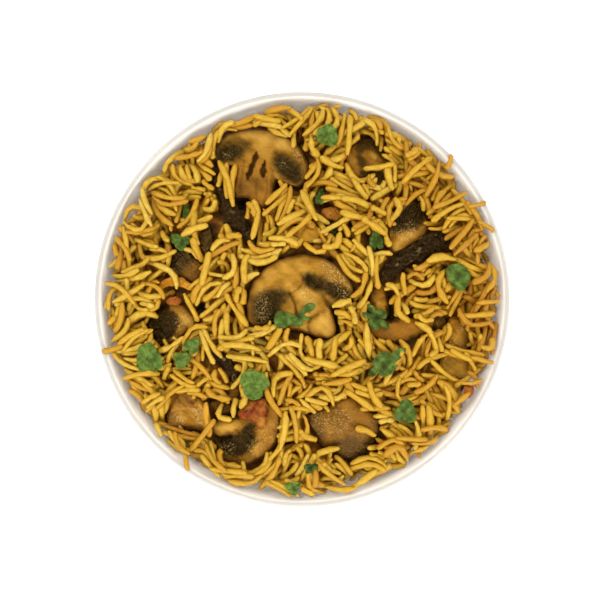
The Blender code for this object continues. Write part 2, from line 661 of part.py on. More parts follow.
# Coriander leaflets that grains lie over.
leaf("coriander_under_right", 28.4, 22.6, 11.5, 5.4, 95, bed(), lobes=3, cut=0.25)
leaf("coriander_under_back", 6.9, 38.8, 7.6, 4.2, 80, bed(), lobes=3, cut=0.3)
leaf("coriander_under_middle", 11.6, 27.0, 4.6, 3.8, 70, bed(), lobes=3, cut=0.2)
leaf("coriander_under_left", -46.6, 22.2, 10.4, 6.4, 150, bed(), lobes=3, cut=0.25)
leaf("coriander_stem_left", -44.9, 33.4, 8.4, 3.2, 84, bed(), lobes=2, cut=0.2)
leaf("coriander_under_far", 1.4, 59.4, 4.4, 3.4, 60, bed(), lobes=3, cut=0.2)

core = make_rice()

# Coriander leaflets that lie on top.
top = np.maximum(surface(core), TOPS)
top = np.where(top > EMPTY, top, dome(GRID_X, GRID_Y))
leaf("coriander_far", 9.6, 62.4, 9.6, 7.8, 70, top, cut=0.22)
leaf("coriander_right", 59.6, 8.6, 10.8, 10.4, 30, top, lobes=4, cut=0.14)
leaf("coriander_left", -58.6, -23.2, 13.8, 9.6, 98, top, cut=0.24)
leaf("coriander_left_pair_a", -46.4, -23.2, 8.6, 6.4, 20, top, cut=0.3)
leaf("coriander_left_pair_b", -42.2, -18.0, 8.2, 6.0, 55, top, cut=0.3)
leaf("coriander_near_middle", -17.6, -32.4, 12.8, 11.8, 140, top, cut=0.26)
leaf("coriander_middle", -1.6, -6.2, 15.6, 7.4, 8, top, lobes=4, cut=0.4)
leaf("coriander_right_middle", 27.6, -6.6, 14.2, 8.0, -38, top, lobes=5, cut=0.4)
leaf("coriander_right_low", 31.0, -24.6, 19.2, 9.4, 36, top, lobes=4, cut=0.42)
leaf("coriander_near_right", 39.4, -42.8, 10.6, 9.4, -40, top, cut=0.28)
leaf("coriander_near", -3.2, -72.4, 7.2, 5.4, 160, top, cut=0.3)
leaf("coriander_near_dark", 3.0, -64.4, 7.0, 3.8, 20, top, cut=0.3)
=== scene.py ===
"""The looks of a bowl of mushroom biryani: every grain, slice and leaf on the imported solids.

Shapes are worked out in millimetres in the part's own frame and turned into metres where a mesh is made.
"""

import math

import bpy
import numpy as np
from mathutils import Matrix, Vector
from mathutils.bvhtree import BVHTree


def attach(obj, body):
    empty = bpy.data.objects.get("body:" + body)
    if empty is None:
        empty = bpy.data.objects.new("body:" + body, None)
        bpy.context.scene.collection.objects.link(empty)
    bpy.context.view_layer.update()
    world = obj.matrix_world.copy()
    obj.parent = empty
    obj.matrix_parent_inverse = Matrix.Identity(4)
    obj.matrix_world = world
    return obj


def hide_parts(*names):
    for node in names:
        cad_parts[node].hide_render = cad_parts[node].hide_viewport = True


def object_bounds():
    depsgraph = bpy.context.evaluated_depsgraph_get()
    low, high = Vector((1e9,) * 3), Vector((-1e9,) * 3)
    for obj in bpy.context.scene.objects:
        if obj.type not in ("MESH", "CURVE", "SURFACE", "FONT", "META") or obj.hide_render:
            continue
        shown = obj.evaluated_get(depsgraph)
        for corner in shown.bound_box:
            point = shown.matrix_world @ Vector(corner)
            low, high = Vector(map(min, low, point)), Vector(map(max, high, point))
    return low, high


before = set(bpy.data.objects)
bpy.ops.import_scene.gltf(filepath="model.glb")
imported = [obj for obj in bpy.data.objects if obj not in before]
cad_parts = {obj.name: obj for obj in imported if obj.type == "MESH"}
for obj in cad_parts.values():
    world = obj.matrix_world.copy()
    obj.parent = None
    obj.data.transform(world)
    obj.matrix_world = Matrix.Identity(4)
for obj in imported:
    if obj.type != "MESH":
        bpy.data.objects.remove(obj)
CAD_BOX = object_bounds()
MM = 0.001

# The bowl, as the solids have it.
RIM_RADIUS = 80.0
BOWL_HEIGHT = 58.0
LIP_WIDTH = 2.4
LIP_HEIGHT = 1.2
FOOT_RADIUS = 37.0
FOOT_WIDTH = 3.5
FOOT_HEIGHT = 4.5
FOOT_RECESS = 2.0
FLOOR_RADIUS = 30.0
FLOOR_HEIGHT = 6.6
WALL_SWEEP = math.radians(70.0)
WALL_STEPS = 28

# How far under the rim the painted shade on the lip begins and where it is full, and its share on the
# outside.
LIP_SHADE = (4.0, 1.4)
OUTSIDE_SHADE = 0.6

# The heap of rice, as the solids have it.
EDGE_RADIUS = 75.0
OUTER_RADIUS = 66.0
EDGE_HEIGHT = 49.5
CROWN_RISE = 15.0

# The loose grains.
BED_DEPTH = 3.8
GRAIN_TRIALS = 18000
GRAIN_LENGTH = 13.4
GRAIN_RADIUS = 1.26
GRAIN_FLAT = 0.86
GRAIN_SINK = 0.7
CEILING = CAD_BOX[1][2] / MM - 0.3
STEEPEST = 1.1
STEEPEST_MARKED = 0.55
MARKED_RIM = 0.6
SEED = 7

# How far out the rice reaches, at equal steps of angle from +X: it lies closest to the wall on the left.
REACH = (76.6, 76.8, 77.2, 75.6, 74.8, 74.0, 75.6, 77.0, 77.4, 77.2, 77.4, 76.2, 75.2, 76.0, 77.6, 77.2)

# A flat piece's side and underside: how far out each ring lies and how far down, as shares.
LUMP_SIDE = ((1.0, 0.25), (0.985, 0.55), (0.95, 0.85), (0.9, 1.0), (0.5, 1.0))
SLICE_SIDE = ((1.0, 0.25), (0.985, 0.6), (0.95, 0.9), (0.88, 1.0), (0.4, 1.0))

# A grain's rings: where each lies from its one tip to the other, and how full it is there.
RING_PLACES = np.array([-0.97, -0.82, -0.45, 0.0, 0.45, 0.82, 0.97])
RING_SIZES = np.array([0.52, 0.86, 1.0, 0.98, 1.0, 0.86, 0.52])
RING_SIDES = 6

# The heights are kept on a square grid over the bowl.
CELL = 0.4
HALF_GRID = 84.0
EMPTY = -100.0
PLUMB = 500.0

# One pixel of the photograph at the height of the rim, and where the bowl's middle lies in it.
PIXEL = 0.3846
MIDDLE = (302.0, 299.5)
PHOTO_SIZE = 600
CAMERA_DISTANCE = 460.0
SENSOR = 36.0

# A coriander leaf.
LEAF_THICKNESS = 0.32
LEAF_LEVEL = 64.0
LEAF_RINGS = 14
LEAF_BASE = 0.3
LEAF_WAVE = 0.35
LEAF_ANGLES = np.linspace(0, 2 * math.pi, 132, endpoint=False)

# The soft boxes: how far out and how high each ring of them stands, in metres, and their powers in watts.
LOW_LIGHTS = (0.8, 0.44, 0.5, (2.0, 1.8, 1.9, 2.5, 3.5, 4.3))
HIGH_LIGHTS = (0.45, 0.78, 0.4, (0.5, 2.0, 0.6, 0.4))
SHARP_LIGHT = 0.14
SKY = 0.46

rng = np.random.default_rng(SEED)
axis = np.arange(-HALF_GRID, HALF_GRID + CELL / 2, CELL)
GRID_X, GRID_Y = np.meshgrid(axis, axis, indexing="ij")
GRID_R = np.hypot(GRID_X, GRID_Y)


def dome(x, y):
    """Height of the rice: a cosine crown over the bowl, EDGE_HEIGHT at the wall."""
    r = np.minimum(np.hypot(x, y), EDGE_RADIUS)
    return EDGE_HEIGHT + CROWN_RISE * np.cos(r / EDGE_RADIUS * math.pi / 2)


def smooth(low, high, x):
    """0 below low, 1 above high, and an even S between them."""
    t = np.clip((x - low) / (high - low), 0.0, 1.0)
    return t * t * (3 - 2 * t)


def waves(x, y, scale, seed=0.0):
    """A cheap smooth noise from crossed sines, about -1 to 1, with bumps about scale wide."""
    k = 2 * math.pi / scale
    return (np.sin(k * x + 1.7 * np.sin(0.7 * k * y + seed) + seed)
            + np.sin(k * 0.83 * y + 1.3 * np.sin(0.6 * k * x + 2 * seed) + 3 * seed)
            + 0.6 * np.sin(k * 1.4 * (x + y) + 5 * seed)) / 2.6


# Colour and materials

def tint(code, alpha=1.0):
    """A web colour as linear light."""
    parts = [int(code[i:i + 2], 16) / 255 for i in (0, 2, 4)]
    return tuple(c / 12.92 if c <= 0.04045 else ((c + 0.055) / 1.055) ** 2.4 for c in parts) + (alpha,)


def add(tree, kind, links=None, **settings):
    """Add a node with its settings, and its inputs by number or name: a socket is linked, a value is set."""
    made = tree.nodes.new(kind)
    for key, value in settings.items():
        setattr(made, key, value)
    for key, value in (links or {}).items():
        socket = made.inputs[key]
        if isinstance(value, bpy.types.NodeSocket):
            tree.links.new(value, socket)
        else:
            socket.default_value = value
    return made


def start(name):
    """A new material: its tree, its Principled shader and the Object coordinates."""
    material = bpy.data.materials.new(name)
    material.use_nodes = True
    tree = material.node_tree
    shader = tree.nodes["Principled BSDF"]
    place = add(tree, "ShaderNodeTexCoord").outputs["Object"]
    return material, tree, shader, place


def noise(tree, place, size, detail=2.0, rough=0.5):
    """Noise with features about size millimetres wide."""
    return add(tree, "ShaderNodeTexNoise", {"Vector": place, "Scale": 1000.0 / size, "Detail": detail,
                                            "Roughness": rough}).outputs["Fac"]


def ramp(tree, fac, stops):
    """A colour ramp from (position, web colour) pairs."""
    made = add(tree, "ShaderNodeValToRGB", {"Fac": fac})
    parts = made.color_ramp.elements
    while len(parts) < len(stops):
        parts.new(0.5)
    for part, (position, code) in zip(parts, stops):
        part.position = position
        part.color = tint(code)
    return made.outputs["Color"]


def blend(tree, fac, a, b):
    """Mix two colours; each is a socket or a web colour."""
    a = tint(a) if isinstance(a, str) else a
    b = tint(b) if isinstance(b, str) else b
    made = add(tree, "ShaderNodeMix", {0: fac, 6: a, 7: b}, data_type="RGBA")
    return made.outputs[2]


def attribute(tree, name):
    """A value stored on the mesh."""
    return add(tree, "ShaderNodeAttribute", attribute_name=name).outputs["Fac"]


def scaled(tree, fac, low, high):
    """Stretch 0 to 1 onto low to high."""
    return add(tree, "ShaderNodeMapRange", {"Value": fac, "To Min": low, "To Max": high}).outputs["Result"]


def with_painted_glints(tree, place, colour, glint_colour):
    """Scatter small pale specks over a colour wherever the mesh asks for glints: painted glints of light on
    the fat.
    """
    glint_specks = ramp(tree, noise(tree, place, 0.7, 2.0, 0.6), [(0.5, "000000"), (0.66, "FFFFFF")])
    glint_spots = attribute(tree, "glint_spots")
    where = add(tree, "ShaderNodeMath", {0: glint_specks, 1: glint_spots}, operation="MULTIPLY").outputs[0]
    return blend(tree, where, colour, glint_colour)


def bumps(tree, shader, height, distance, strength=0.6):
    """Relief of the given depth in millimetres."""
    bump = add(tree, "ShaderNodeBump", {"Height": height, "Distance": distance * MM, "Strength": strength})
    tree.links.new(bump.outputs["Normal"], shader.inputs["Normal"])


def constants(shader, **values):
    """Set plain numbers on the shader's own sockets."""
    for key, value in values.items():
        shader.inputs[key.replace("_", " ")].default_value = value


def rice_paint():
    """Boiled long-grain rice, stained with turmeric and tossed until oily.

    The stain took unevenly, so whole grains run from deep amber to pale yellow and each is mottled along
    its length; the oily film gives a soft, broken shine. Painted shade darkens the grains on the right of
    the heap, the underside of each grain and the grains that lie deeper, and pale specks are painted glints.
    """
    material, tree, shader, place = start("cooked_rice")
    stains = [(0.0, "A2680C"), (0.3, "B88614"), (0.6, "C69E24"), (0.85, "CEAE3A"), (1.0, "D4BC64")]
    grain = ramp(tree, attribute(tree, "tone"), stains)
    mottled = blend(tree, scaled(tree, noise(tree, place, 1.8, 4.0, 0.65), -0.7, 1.2), grain, "A4700A")
    # Painted glints: pale specks where the fine noise peaks.
    rice_glint_specks = ramp(tree, noise(tree, place, 0.9, 3.0, 0.6), [(0.52, "000000"), (0.68, "646464")])
    glinted = blend(tree, rice_glint_specks, mottled, "F4CC4C")
    # Painted shade: the underside of each grain tinted an oily brown.
    shaded_under = blend(tree, attribute(tree, "underside_shade"), glinted, "AA6606")
    # Painted shade: the grains that lie deeper in the heap are tinted darker brown.
    deep = blend(tree, attribute(tree, "depth"), shaded_under, "A8640A")
    tree.links.new(deep, shader.inputs["Base Color"])
    tree.links.new(scaled(tree, noise(tree, place, 1.6), 0.2, 0.46), shader.inputs["Roughness"])
    bumps(tree, shader, noise(tree, place, 1.0, 5.0, 0.7), 0.45, 1.0)
    constants(shader, Subsurface_Weight=0.1, Subsurface_Scale=0.8 * MM, Subsurface_Radius=(1.0, 0.6, 0.12),
              Specular_IOR_Level=0.7, Specular_Tint=tint("F4E4AC"))
    return material


def bed_paint():
    """The oily masala between the grains: dark orange-brown, in shadow, and painted near black as shade at
    the deep gaps and beside the pieces.
    """
    material, tree, shader, place = start("masala")
    base = ramp(tree, noise(tree, place, 4.0, 3.0), [(0.3, "74420A"), (0.5, "965C10"), (0.7, "B08028")])
    # Painted shade: near black where the mesh marks the deep gaps and the bed beside the pieces.
    tree.links.new(blend(tree, attribute(tree, "dim"), base, "140A04"), shader.inputs["Base Color"])
    bumps(tree, shader, noise(tree, place, 2.2, 4.0), 1.0, 1.0)
    constants(shader, Roughness=0.6, Specular_IOR_Level=0.15)
    return material


def mushroom_paint():
    """Fried button mushroom, cut through: a firm tan flesh, a thin brown skin, and moist blackish gills.

    The flesh is blotched where the fat soaked in, the gills are combed in fine dark lines that glisten.
    Painted shade darkens the flesh towards its edges and in its hollows and grooves, and pale specks are
    painted glints.
    """
    material, tree, shader, place = start("mushroom_cut")
    lengthwise = {"Vector": place, "Rotation": (0, 0, 0.35), "Scale": (0.6, 1.2, 1.0)}
    fibres = add(tree, "ShaderNodeMapping", lengthwise).outputs["Vector"]
    blotch = noise(tree, fibres, 2.4, 5.0, 0.7)
    flesh = ramp(tree, blotch, [(0.3, "6A4409"), (0.46, "8C5E12"), (0.58, "A2701A"), (0.75, "BA8C34")])
    tone = blend(tree, attribute(tree, "tone"), flesh, "C0943E")
    warm = blend(tree, attribute(tree, "warm"), tone, "96601A")
    # Painted shade mixed with blotches: darker towards the edges and where the marks ask for it.
    dim = blend(tree, attribute(tree, "dim"), warm, "573408")
    combed = noise(tree, place, 1.6, 4.0, 0.6)
    comb = ramp(tree, combed, [(0.3, "050300"), (0.52, "150E04"), (0.74, "3C2C10")])
    gills = blend(tree, attribute(tree, "gill"), dim, comb)
    # Pale specks here are painted glints.
    skin = blend(tree, attribute(tree, "skin"), with_painted_glints(tree, place, gills, "D2B272"), "3A2408")
    tree.links.new(skin, shader.inputs["Base Color"])
    tree.links.new(scaled(tree, noise(tree, place, 2.0), 0.25, 0.5), shader.inputs["Roughness"])
    bumps(tree, shader, noise(tree, place, 0.7, 4.0, 0.65), 0.3, 0.9)
    tree.links.new(scaled(tree, attribute(tree, "gill"), 0.7, 0.4), shader.inputs["Specular IOR Level"])
    constants(shader, Specular_Tint=tint("C09244"))
    return material


def cap_paint():
    """The outside of a fried mushroom cap: smooth brown skin under a film of fat, golden in blotches, with
    painted light on the upper side of the near cap, painted shade on the lower sides and edges, and painted
    glints.
    """
    material, tree, shader, place = start("mushroom_skin")
    base = ramp(tree, noise(tree, place, 9.0, 4.0, 0.55), [(0.3, "4C2C05"), (0.5, "66400A"), (0.7, "7E5614")])
    # Lighter golden skin in blotches, and painted light on the upper side of the near cap.
    light = blend(tree, attribute(tree, "tone"), base, "A06C20")
    # Painted shade on the lower sides and edges.
    dark = blend(tree, attribute(tree, "dim"), light, "301C04")
    gills = blend(tree, attribute(tree, "gill"), dark, "140C04")
    # Pale specks here are painted glints.
    tree.links.new(with_painted_glints(tree, place, gills, "D0AC6C"), shader.inputs["Base Color"])
    tree.links.new(scaled(tree, noise(tree, place, 1.8), 0.14, 0.36), shader.inputs["Roughness"])
    bumps(tree, shader, noise(tree, place, 0.9, 4.0, 0.65), 0.3, 1.0)
    constants(shader, Specular_IOR_Level=1.0, Specular_Tint=tint("C8984C"))
    return material


def onion_paint():
    """Onion cooked soft: amber, half see-through, veined along its length and moist, with painted shade at
    its edges and pale specks as painted glints.
    """
    material, tree, shader, place = start("soft_onion")
    body = ramp(tree, noise(tree, place, 4.5, 3.0), [(0.3, "84500A"), (0.5, "A66A10"), (0.72, "BE8A20")])
    light = blend(tree, attribute(tree, "tone"), body, "CC9A32")
    # Painted shade at the edges of a piece, mixed with blotches.
    dark = blend(tree, attribute(tree, "dim"), light, "5E3A0C")
    # Veins; on the square piece at the near left the pale line across it is a painted highlight.
    veins = blend(tree, attribute(tree, "vein"), dark, "C09A5C")
    # Pale specks here are painted glints.
    tree.links.new(with_painted_glints(tree, place, veins, "E0C48C"), shader.inputs["Base Color"])
    tree.links.new(scaled(tree, noise(tree, place, 1.5), 0.12, 0.32), shader.inputs["Roughness"])
    bumps(tree, shader, noise(tree, place, 1.2, 3.0), 0.25, 0.6)
    constants(shader, Subsurface_Weight=0.2, Subsurface_Scale=1.5 * MM, Specular_IOR_Level=0.6,
              Specular_Tint=tint("E0B260"))
    return material


def tomato_paint():
    """Cooked tomato: pulpy orange-red flesh, wet, with paler fibres."""
    material, tree, shader, place = start("cooked_tomato")
    reds = [(0.3, "440E07"), (0.5, "6E200E"), (0.66, "903618"), (0.8, "A26030")]
    pulp = ramp(tree, noise(tree, place, 1.8, 4.0), reds)
    tree.links.new(blend(tree, attribute(tree, "tone"), pulp, "AC7826"), shader.inputs["Base Color"])
    tree.links.new(scaled(tree, noise(tree, place, 1.2), 0.15, 0.4), shader.inputs["Roughness"])
    bumps(tree, shader, noise(tree, place, 0.9, 4.0), 0.3, 0.7)
    constants(shader, Subsurface_Weight=0.1, Subsurface_Scale=1.0 * MM, Specular_IOR_Level=0.5,
              Specular_Tint=tint("D89868"))
    return material


def wilted_paint():
    """Herb leaves fried limp: brown-black, creased, with olive on the ridges and an oily glint."""
    material, tree, shader, place = start("fried_herb")
    browns = [(0.3, "0A0602"), (0.5, "1E1307"), (0.68, "3E2C10"), (0.85, "745C2C")]
    tissue = ramp(tree, noise(tree, place, 1.1, 5.0, 0.7), browns)
    ridge = blend(tree, attribute(tree, "vein"), tissue, "86744A")
    tree.links.new(ridge, shader.inputs["Base Color"])
    tree.links.new(scaled(tree, noise(tree, place, 1.0), 0.25, 0.55), shader.inputs["Roughness"])
    bumps(tree, shader, noise(tree, place, 0.7, 4.0, 0.7), 0.35, 0.8)
    constants(shader, Specular_IOR_Level=0.45, Specular_Tint=tint("A8844C"))
    return material


def leaf_paint():
    """Fresh coriander leaf: soft green, paler along the veins, with a light waxy sheen; painted shade darkens
    its middle, broad patches of it and leaves that lie in shadow.
    """
    material, tree, shader, place = start("coriander_leaf")
    greens = [(0.3, "2C4410"), (0.5, "526C28"), (0.7, "70883E"), (0.85, "8EA45C")]
    blade = ramp(tree, noise(tree, place, 1.8, 5.0, 0.65), greens)
    veins = blend(tree, attribute(tree, "vein"), blade, "7E8C42")
    # Painted shade: darker middles, broad patches and leaves that lie in shadow.
    dark = blend(tree, attribute(tree, "dim"), veins, "1E2A08")
    tree.links.new(dark, shader.inputs["Base Color"])
    tree.links.new(scaled(tree, noise(tree, place, 1.4), 0.3, 0.55), shader.inputs["Roughness"])
    bumps(tree, shader, noise(tree, place, 1.0, 4.0), 0.3, 0.8)
    constants(shader, Subsurface_Weight=0.1, Subsurface_Scale=0.5 * MM, Specular_IOR_Level=0.3,
              Specular_Tint=tint("C8D08C"))
    return material


def bowl_paint():
    """Glazed white porcelain: a clean even white under clear glaze, very slightly uneven where it ran.

    The lip and the outside are painted a greyer white: painted shade.
    """
    material, tree, shader, place = start("white_glaze")
    glaze = ramp(tree, noise(tree, place, 60.0), [(0.3, "F6F4F1"), (0.7, "FBFAF8")])
    tree.links.new(blend(tree, attribute(tree, "edge"), glaze, "B2B0AC"), shader.inputs["Base Color"])
    tree.links.new(scaled(tree, noise(tree, place, 25.0), 0.16, 0.24), shader.inputs["Roughness"])
    bumps(tree, shader, noise(tree, place, 14.0, 1.0), 0.12, 0.3)
    constants(shader, Coat_Weight=0.1, Coat_Roughness=0.08, Subsurface_Weight=0.6, Subsurface_Scale=6 * MM,
              Subsurface_Radius=(1.0, 0.9, 0.75), Specular_IOR_Level=0.3)
    return material


# Each paint's material, and the name of a slot, which nothing reads.
PAINTS = {"glaze": (bowl_paint(), "porcelain"), "rice": (rice_paint(), "rice"),
          "masala": (bed_paint(), "rice"), "mushroom": (mushroom_paint(), "mushroom_flesh"),
          "cap": (cap_paint(), "mushroom_skin"), "onion": (onion_paint(), "onion"),
          "tomato": (tomato_paint(), "tomato"), "wilted": (wilted_paint(), "wilted_herb"),
          "leaf": (leaf_paint(), "coriander")}


# Surfaces

def shell_faces(m, n):
    """Faces of m rings of n points with a pole at each end: quads between rings, fans at the poles."""
    k = np.arange(n)
    nxt = (k + 1) % n
    i = np.arange(m - 1)[:, None] * n
    quads = np.stack([i + k, i + n + k, i + n + nxt, i + nxt], axis=-1).reshape(-1, 4)
    top = m * n
    last = (m - 1) * n
    fans = np.concatenate([np.stack([np.full(n, top), k, nxt], axis=-1),
                           np.stack([np.full(n, top + 1), last + nxt, last + k], axis=-1)])
    return quads.tolist() + fans.tolist()


def build(name, points, faces, paint, node, values):
    """Make a piece from points in millimetres, with named values on its points, in the place of a node."""
    material, slot = PAINTS[paint]
    mesh = bpy.data.meshes.new(name)
    mesh.from_pydata((np.asarray(points) * MM).tolist(), [], faces)
    mesh.shade_smooth()
    for key, value in values.items():
        data = mesh.attributes.new(key, "FLOAT", "POINT")
        data.data.foreach_set("value", np.ascontiguousarray(value, dtype=np.float32).ravel())
    mesh.materials.append(material)
    obj = bpy.data.objects.new(name, mesh)
    bpy.context.scene.collection.objects.link(obj)
    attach(obj, "root")
    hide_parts(node)
    return obj


def shell(name, rows, top, bottom, paint, node, values):
    """A closed surface from rings that run from its top pole over its edge to its bottom pole."""
    m, n = rows.shape[:2]
    points = np.concatenate([rows.reshape(-1, 3), [top], [bottom]])
    full = {}
    for key, value in values.items():
        value = np.broadcast_to(value, (m, n))
        full[key] = np.concatenate([value.ravel(), [value[0].mean()], [value[-1].mean()]])
    return build(name, points, shell_faces(m, n), paint, node, full)


# Bowl

def wall(r0, z0, r1, z1, steps):
    """Points of a wall that leaves level at (r0, z0) and sweeps up to (r1, z1)."""
    a = np.linspace(0, WALL_SWEEP, steps + 1)
    r = r0 + (r1 - r0) * np.sin(a) / math.sin(WALL_SWEEP)
    z = z0 + (z1 - z0) * (1 - np.cos(a)) / (1 - math.cos(WALL_SWEEP))
    return np.stack([r, z], axis=1)


INNER_WALL = wall(FLOOR_RADIUS, FLOOR_HEIGHT, RIM_RADIUS - LIP_WIDTH, BOWL_HEIGHT - LIP_HEIGHT, WALL_STEPS)


def make_bowl(sides=144):
    """Turn the bowl's section round its middle: floor, inner wall, a round lip, outer wall, foot ring and the
    recess under it."""
    lip_a = np.linspace(0, math.pi, 11)[1:-1]
    lip = np.stack([RIM_RADIUS - LIP_WIDTH / 2 - LIP_WIDTH / 2 * np.cos(lip_a),
                    BOWL_HEIGHT - LIP_HEIGHT + LIP_HEIGHT * np.sin(lip_a)], axis=1)
    outer = wall(FOOT_RADIUS + 1.0, FOOT_HEIGHT, RIM_RADIUS, BOWL_HEIGHT - LIP_HEIGHT, WALL_STEPS)[::-1]
    inside = FOOT_RADIUS - FOOT_WIDTH
    foot = [(FOOT_RADIUS + 0.3, FOOT_HEIGHT - 0.8), (FOOT_RADIUS, 0.5), (FOOT_RADIUS - 0.5, 0.0),
            (inside + 0.5, 0.0), (inside, 0.4), (inside - 0.7, FOOT_RECESS - 0.3),
            (inside - 1.6, FOOT_RECESS), (FLOOR_RADIUS / 2, FOOT_RECESS)]
    floor = [(FLOOR_RADIUS / 3, FLOOR_HEIGHT), (FLOOR_RADIUS * 0.8, FLOOR_HEIGHT)]
    section = np.concatenate([floor, INNER_WALL, lip, outer, foot])
    out, up = section[:, :1], section[:, 1:]
    a = np.linspace(0, 2 * math.pi, sides, endpoint=False)
    rows = np.stack([out * np.cos(a), out * np.sin(a), np.broadcast_to(up, (len(section), sides))], axis=-1)
    # Painted shade: the lip is greyed towards its top, and the outside wall and foot are greyed evenly.
    edge = (smooth(RIM_RADIUS - LIP_WIDTH - 0.3, RIM_RADIUS - 1.4, out)
            * smooth(BOWL_HEIGHT - LIP_SHADE[0], BOWL_HEIGHT - LIP_SHADE[1], up))
    outside = len(floor) + len(INNER_WALL) + len(lip)
    edge[outside:] = np.maximum(edge[outside:], OUTSIDE_SHADE)
    shell("bowl_glazed", rows, (0, 0, FLOOR_HEIGHT), (0, 0, FOOT_RECESS), "glaze", "bowl", {"edge": edge})


def inner_height(r):
    """Height of the bowl's inside at a radius; the rim's height from there outward."""
    inside = np.interp(r, INNER_WALL[:, 0], INNER_WALL[:, 1])
    return np.where(r < INNER_WALL[-1, 0], inside, BOWL_HEIGHT)


# Height maps

def lookup(field, x, y):
    """Nearest value of a height map at the given places."""
    i = np.clip(np.rint((np.asarray(x) + HALF_GRID) / CELL).astype(int), 0, len(axis) - 1)
    j = np.clip(np.rint((np.asarray(y) + HALF_GRID) / CELL).astype(int), 0, len(axis) - 1)
    return field[i, j]


def spread(field, radius):
    """Give each cell the largest value within a radius."""
    n = int(math.ceil(radius / CELL))
    out = field.copy()
    for i in range(-n, n + 1):
        for j in range(-n, n + 1):
            if i * i + j * j <= n * n + 1:
                out = np.maximum(out, np.roll(field, (i, j), (0, 1)))
    return out


def soften(field, radius):
    """Average a height map over a disc."""
    n = int(math.ceil(radius / CELL))
    total = np.zeros_like(field)
    count = 0
    for i in range(-n, n + 1):
        for j in range(-n, n + 1):
            if i * i + j * j <= n * n:
                total += np.roll(field, (i, j), (0, 1))
                count += 1
    return total / count


def drop(tree, x, y):
    """The height where a plumb line lands on a shape, or None where it misses it."""
    hit = tree.ray_cast(Vector((x, y, PLUMB)), Vector((0, 0, -1)))[0]
    return None if hit is None else hit.z


def cover(field, obj):
    """Raise a height map to an object's top, and return the cells that it covers."""
    points = np.empty(len(obj.data.vertices) * 3, np.float32)
    obj.data.vertices.foreach_get("co", points)
    points = points.reshape(-1, 3) / MM
    tree = BVHTree.FromPolygons(points.tolist(), [tuple(p.vertices) for p in obj.data.polygons])
    low = ((points[:, :2].min(0) + HALF_GRID) / CELL).astype(int)
    high = ((points[:, :2].max(0) + HALF_GRID) / CELL).astype(int) + 2
    hits = np.zeros(field.shape, bool)
    for i in range(low[0], high[0]):
        for j in range(low[1], high[1]):
            z = drop(tree, axis[i], axis[j])
            if z is not None:
                hits[i, j] = True
                field[i, j] = max(field[i, j], z)
    return hits


TOPS = np.full(GRID_X.shape, EMPTY)
SHOWN = np.zeros(GRID_X.shape, bool)


def note(obj, margin):
    """Record a piece's top, and where no grain's middle line may lie: all but a margin along its edge, or
    with a negative margin a little more than the piece."""
    hits = cover(TOPS, obj).astype(float)
    kept = -spread(-hits, margin) if margin > 0 else spread(hits, -margin)
    SHOWN[kept > 0.5] = True


# Where a solid lies

def solid(node):
    """Points and faces of a solid, in millimetres."""
    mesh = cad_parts[node].data
    return [v.co / MM for v in mesh.vertices], [tuple(p.vertices) for p in mesh.polygons]


def underside(node):
    """The upward normal of a flat solid's underside, and how far along it that face lies."""
    total = Vector()
    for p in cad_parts[node].data.polygons:
        if p.normal.z < -0.8:
            total += p.normal * p.area
    normal = -total.normalized()
    return normal, sum(sorted(p.dot(normal) for p in solid(node)[0])[:6]) / 6


def plane(node, thickness):
    """The height of a flat solid's top plane as a function of the place."""
    normal, level = underside(node)
    level += thickness
    return lambda x, y: (level - x * normal.x - y * normal.y) / normal.z


def seat(node, x, y, heading, thickness):
    """Where a flat piece lies: on its solid's top plane, turned to its heading."""
    z = plane(node, thickness)(x, y)
    turn = Vector((0, 0, 1)).rotation_difference(underside(node)[0]).to_matrix().to_4x4()
    return Matrix.Translation((x, y, z)) @ turn @ Matrix.Rotation(math.radians(heading), 4, "Z")


def moved(matrix, points):
    """Move an array of points by a matrix."""
    m = np.array(matrix)
    return points @ m[:3, :3].T + m[:3, 3]


def pixel_at(z):
    """How wide a pixel of the photograph is on something at height z, in millimetres."""
    return PIXEL * (1 - (z - BOWL_HEIGHT) / CAMERA_DISTANCE)


def spot(px, py, z=BOWL_HEIGHT):
    """A place in the photograph, in millimetres over the bowl, for something at height z."""
    k = pixel_at(z)
    return (px - MIDDLE[0]) * k, (MIDDLE[1] - py) * k


# Outlines and paths

def around(values, a):
    """Radii at equal steps of angle, joined by smooth waves, read at the angles a."""
    place = (a / (2 * math.pi) * len(values)) % len(values)
    k = place.astype(int)
    t = (1 - np.cos((place - k) * math.pi)) / 2
    values = np.array(values)
    return values[k] * (1 - t) + values[(k + 1) % len(values)] * t


def ease(values, times):
    """Round off the corners of a closed row of numbers."""
    for _ in range(times):
        values = (np.roll(values, 1) + 2 * values + np.roll(values, -1)) / 4
    return values


def between(a, b, c, d, f):
    """A point at a share f of the way from b to c, on the cubic whose slope at each point runs along its two
    neighbours."""
    return 0.5 * (2 * b + (c - a) * f + (2 * a - 5 * b + 4 * c - d) * f ** 2
                  + (3 * b - a - 3 * c + d) * f ** 3)


def closed(points, steps=6):
    """A smooth closed loop through points."""
    p = np.asarray(points, float)
    t = np.linspace(0, len(p), len(p) * steps, endpoint=False)
    k = t.astype(int)
    return between(p[k - 1], p[k], p[(k + 1) % len(p)], p[(k + 2) % len(p)], (t - k)[:, None])


def curve(points, count):
    """A smooth path through points, at even steps."""
    p = np.asarray(points, float)
    p = np.concatenate([[2 * p[0] - p[1]], p, [2 * p[-1] - p[-2]]])
    t = np.linspace(0, len(p) - 3 - 1e-6, count)
    k = t.astype(int)
    return between(p[k], p[k + 1], p[k + 2], p[k + 3], (t - k)[:, None])


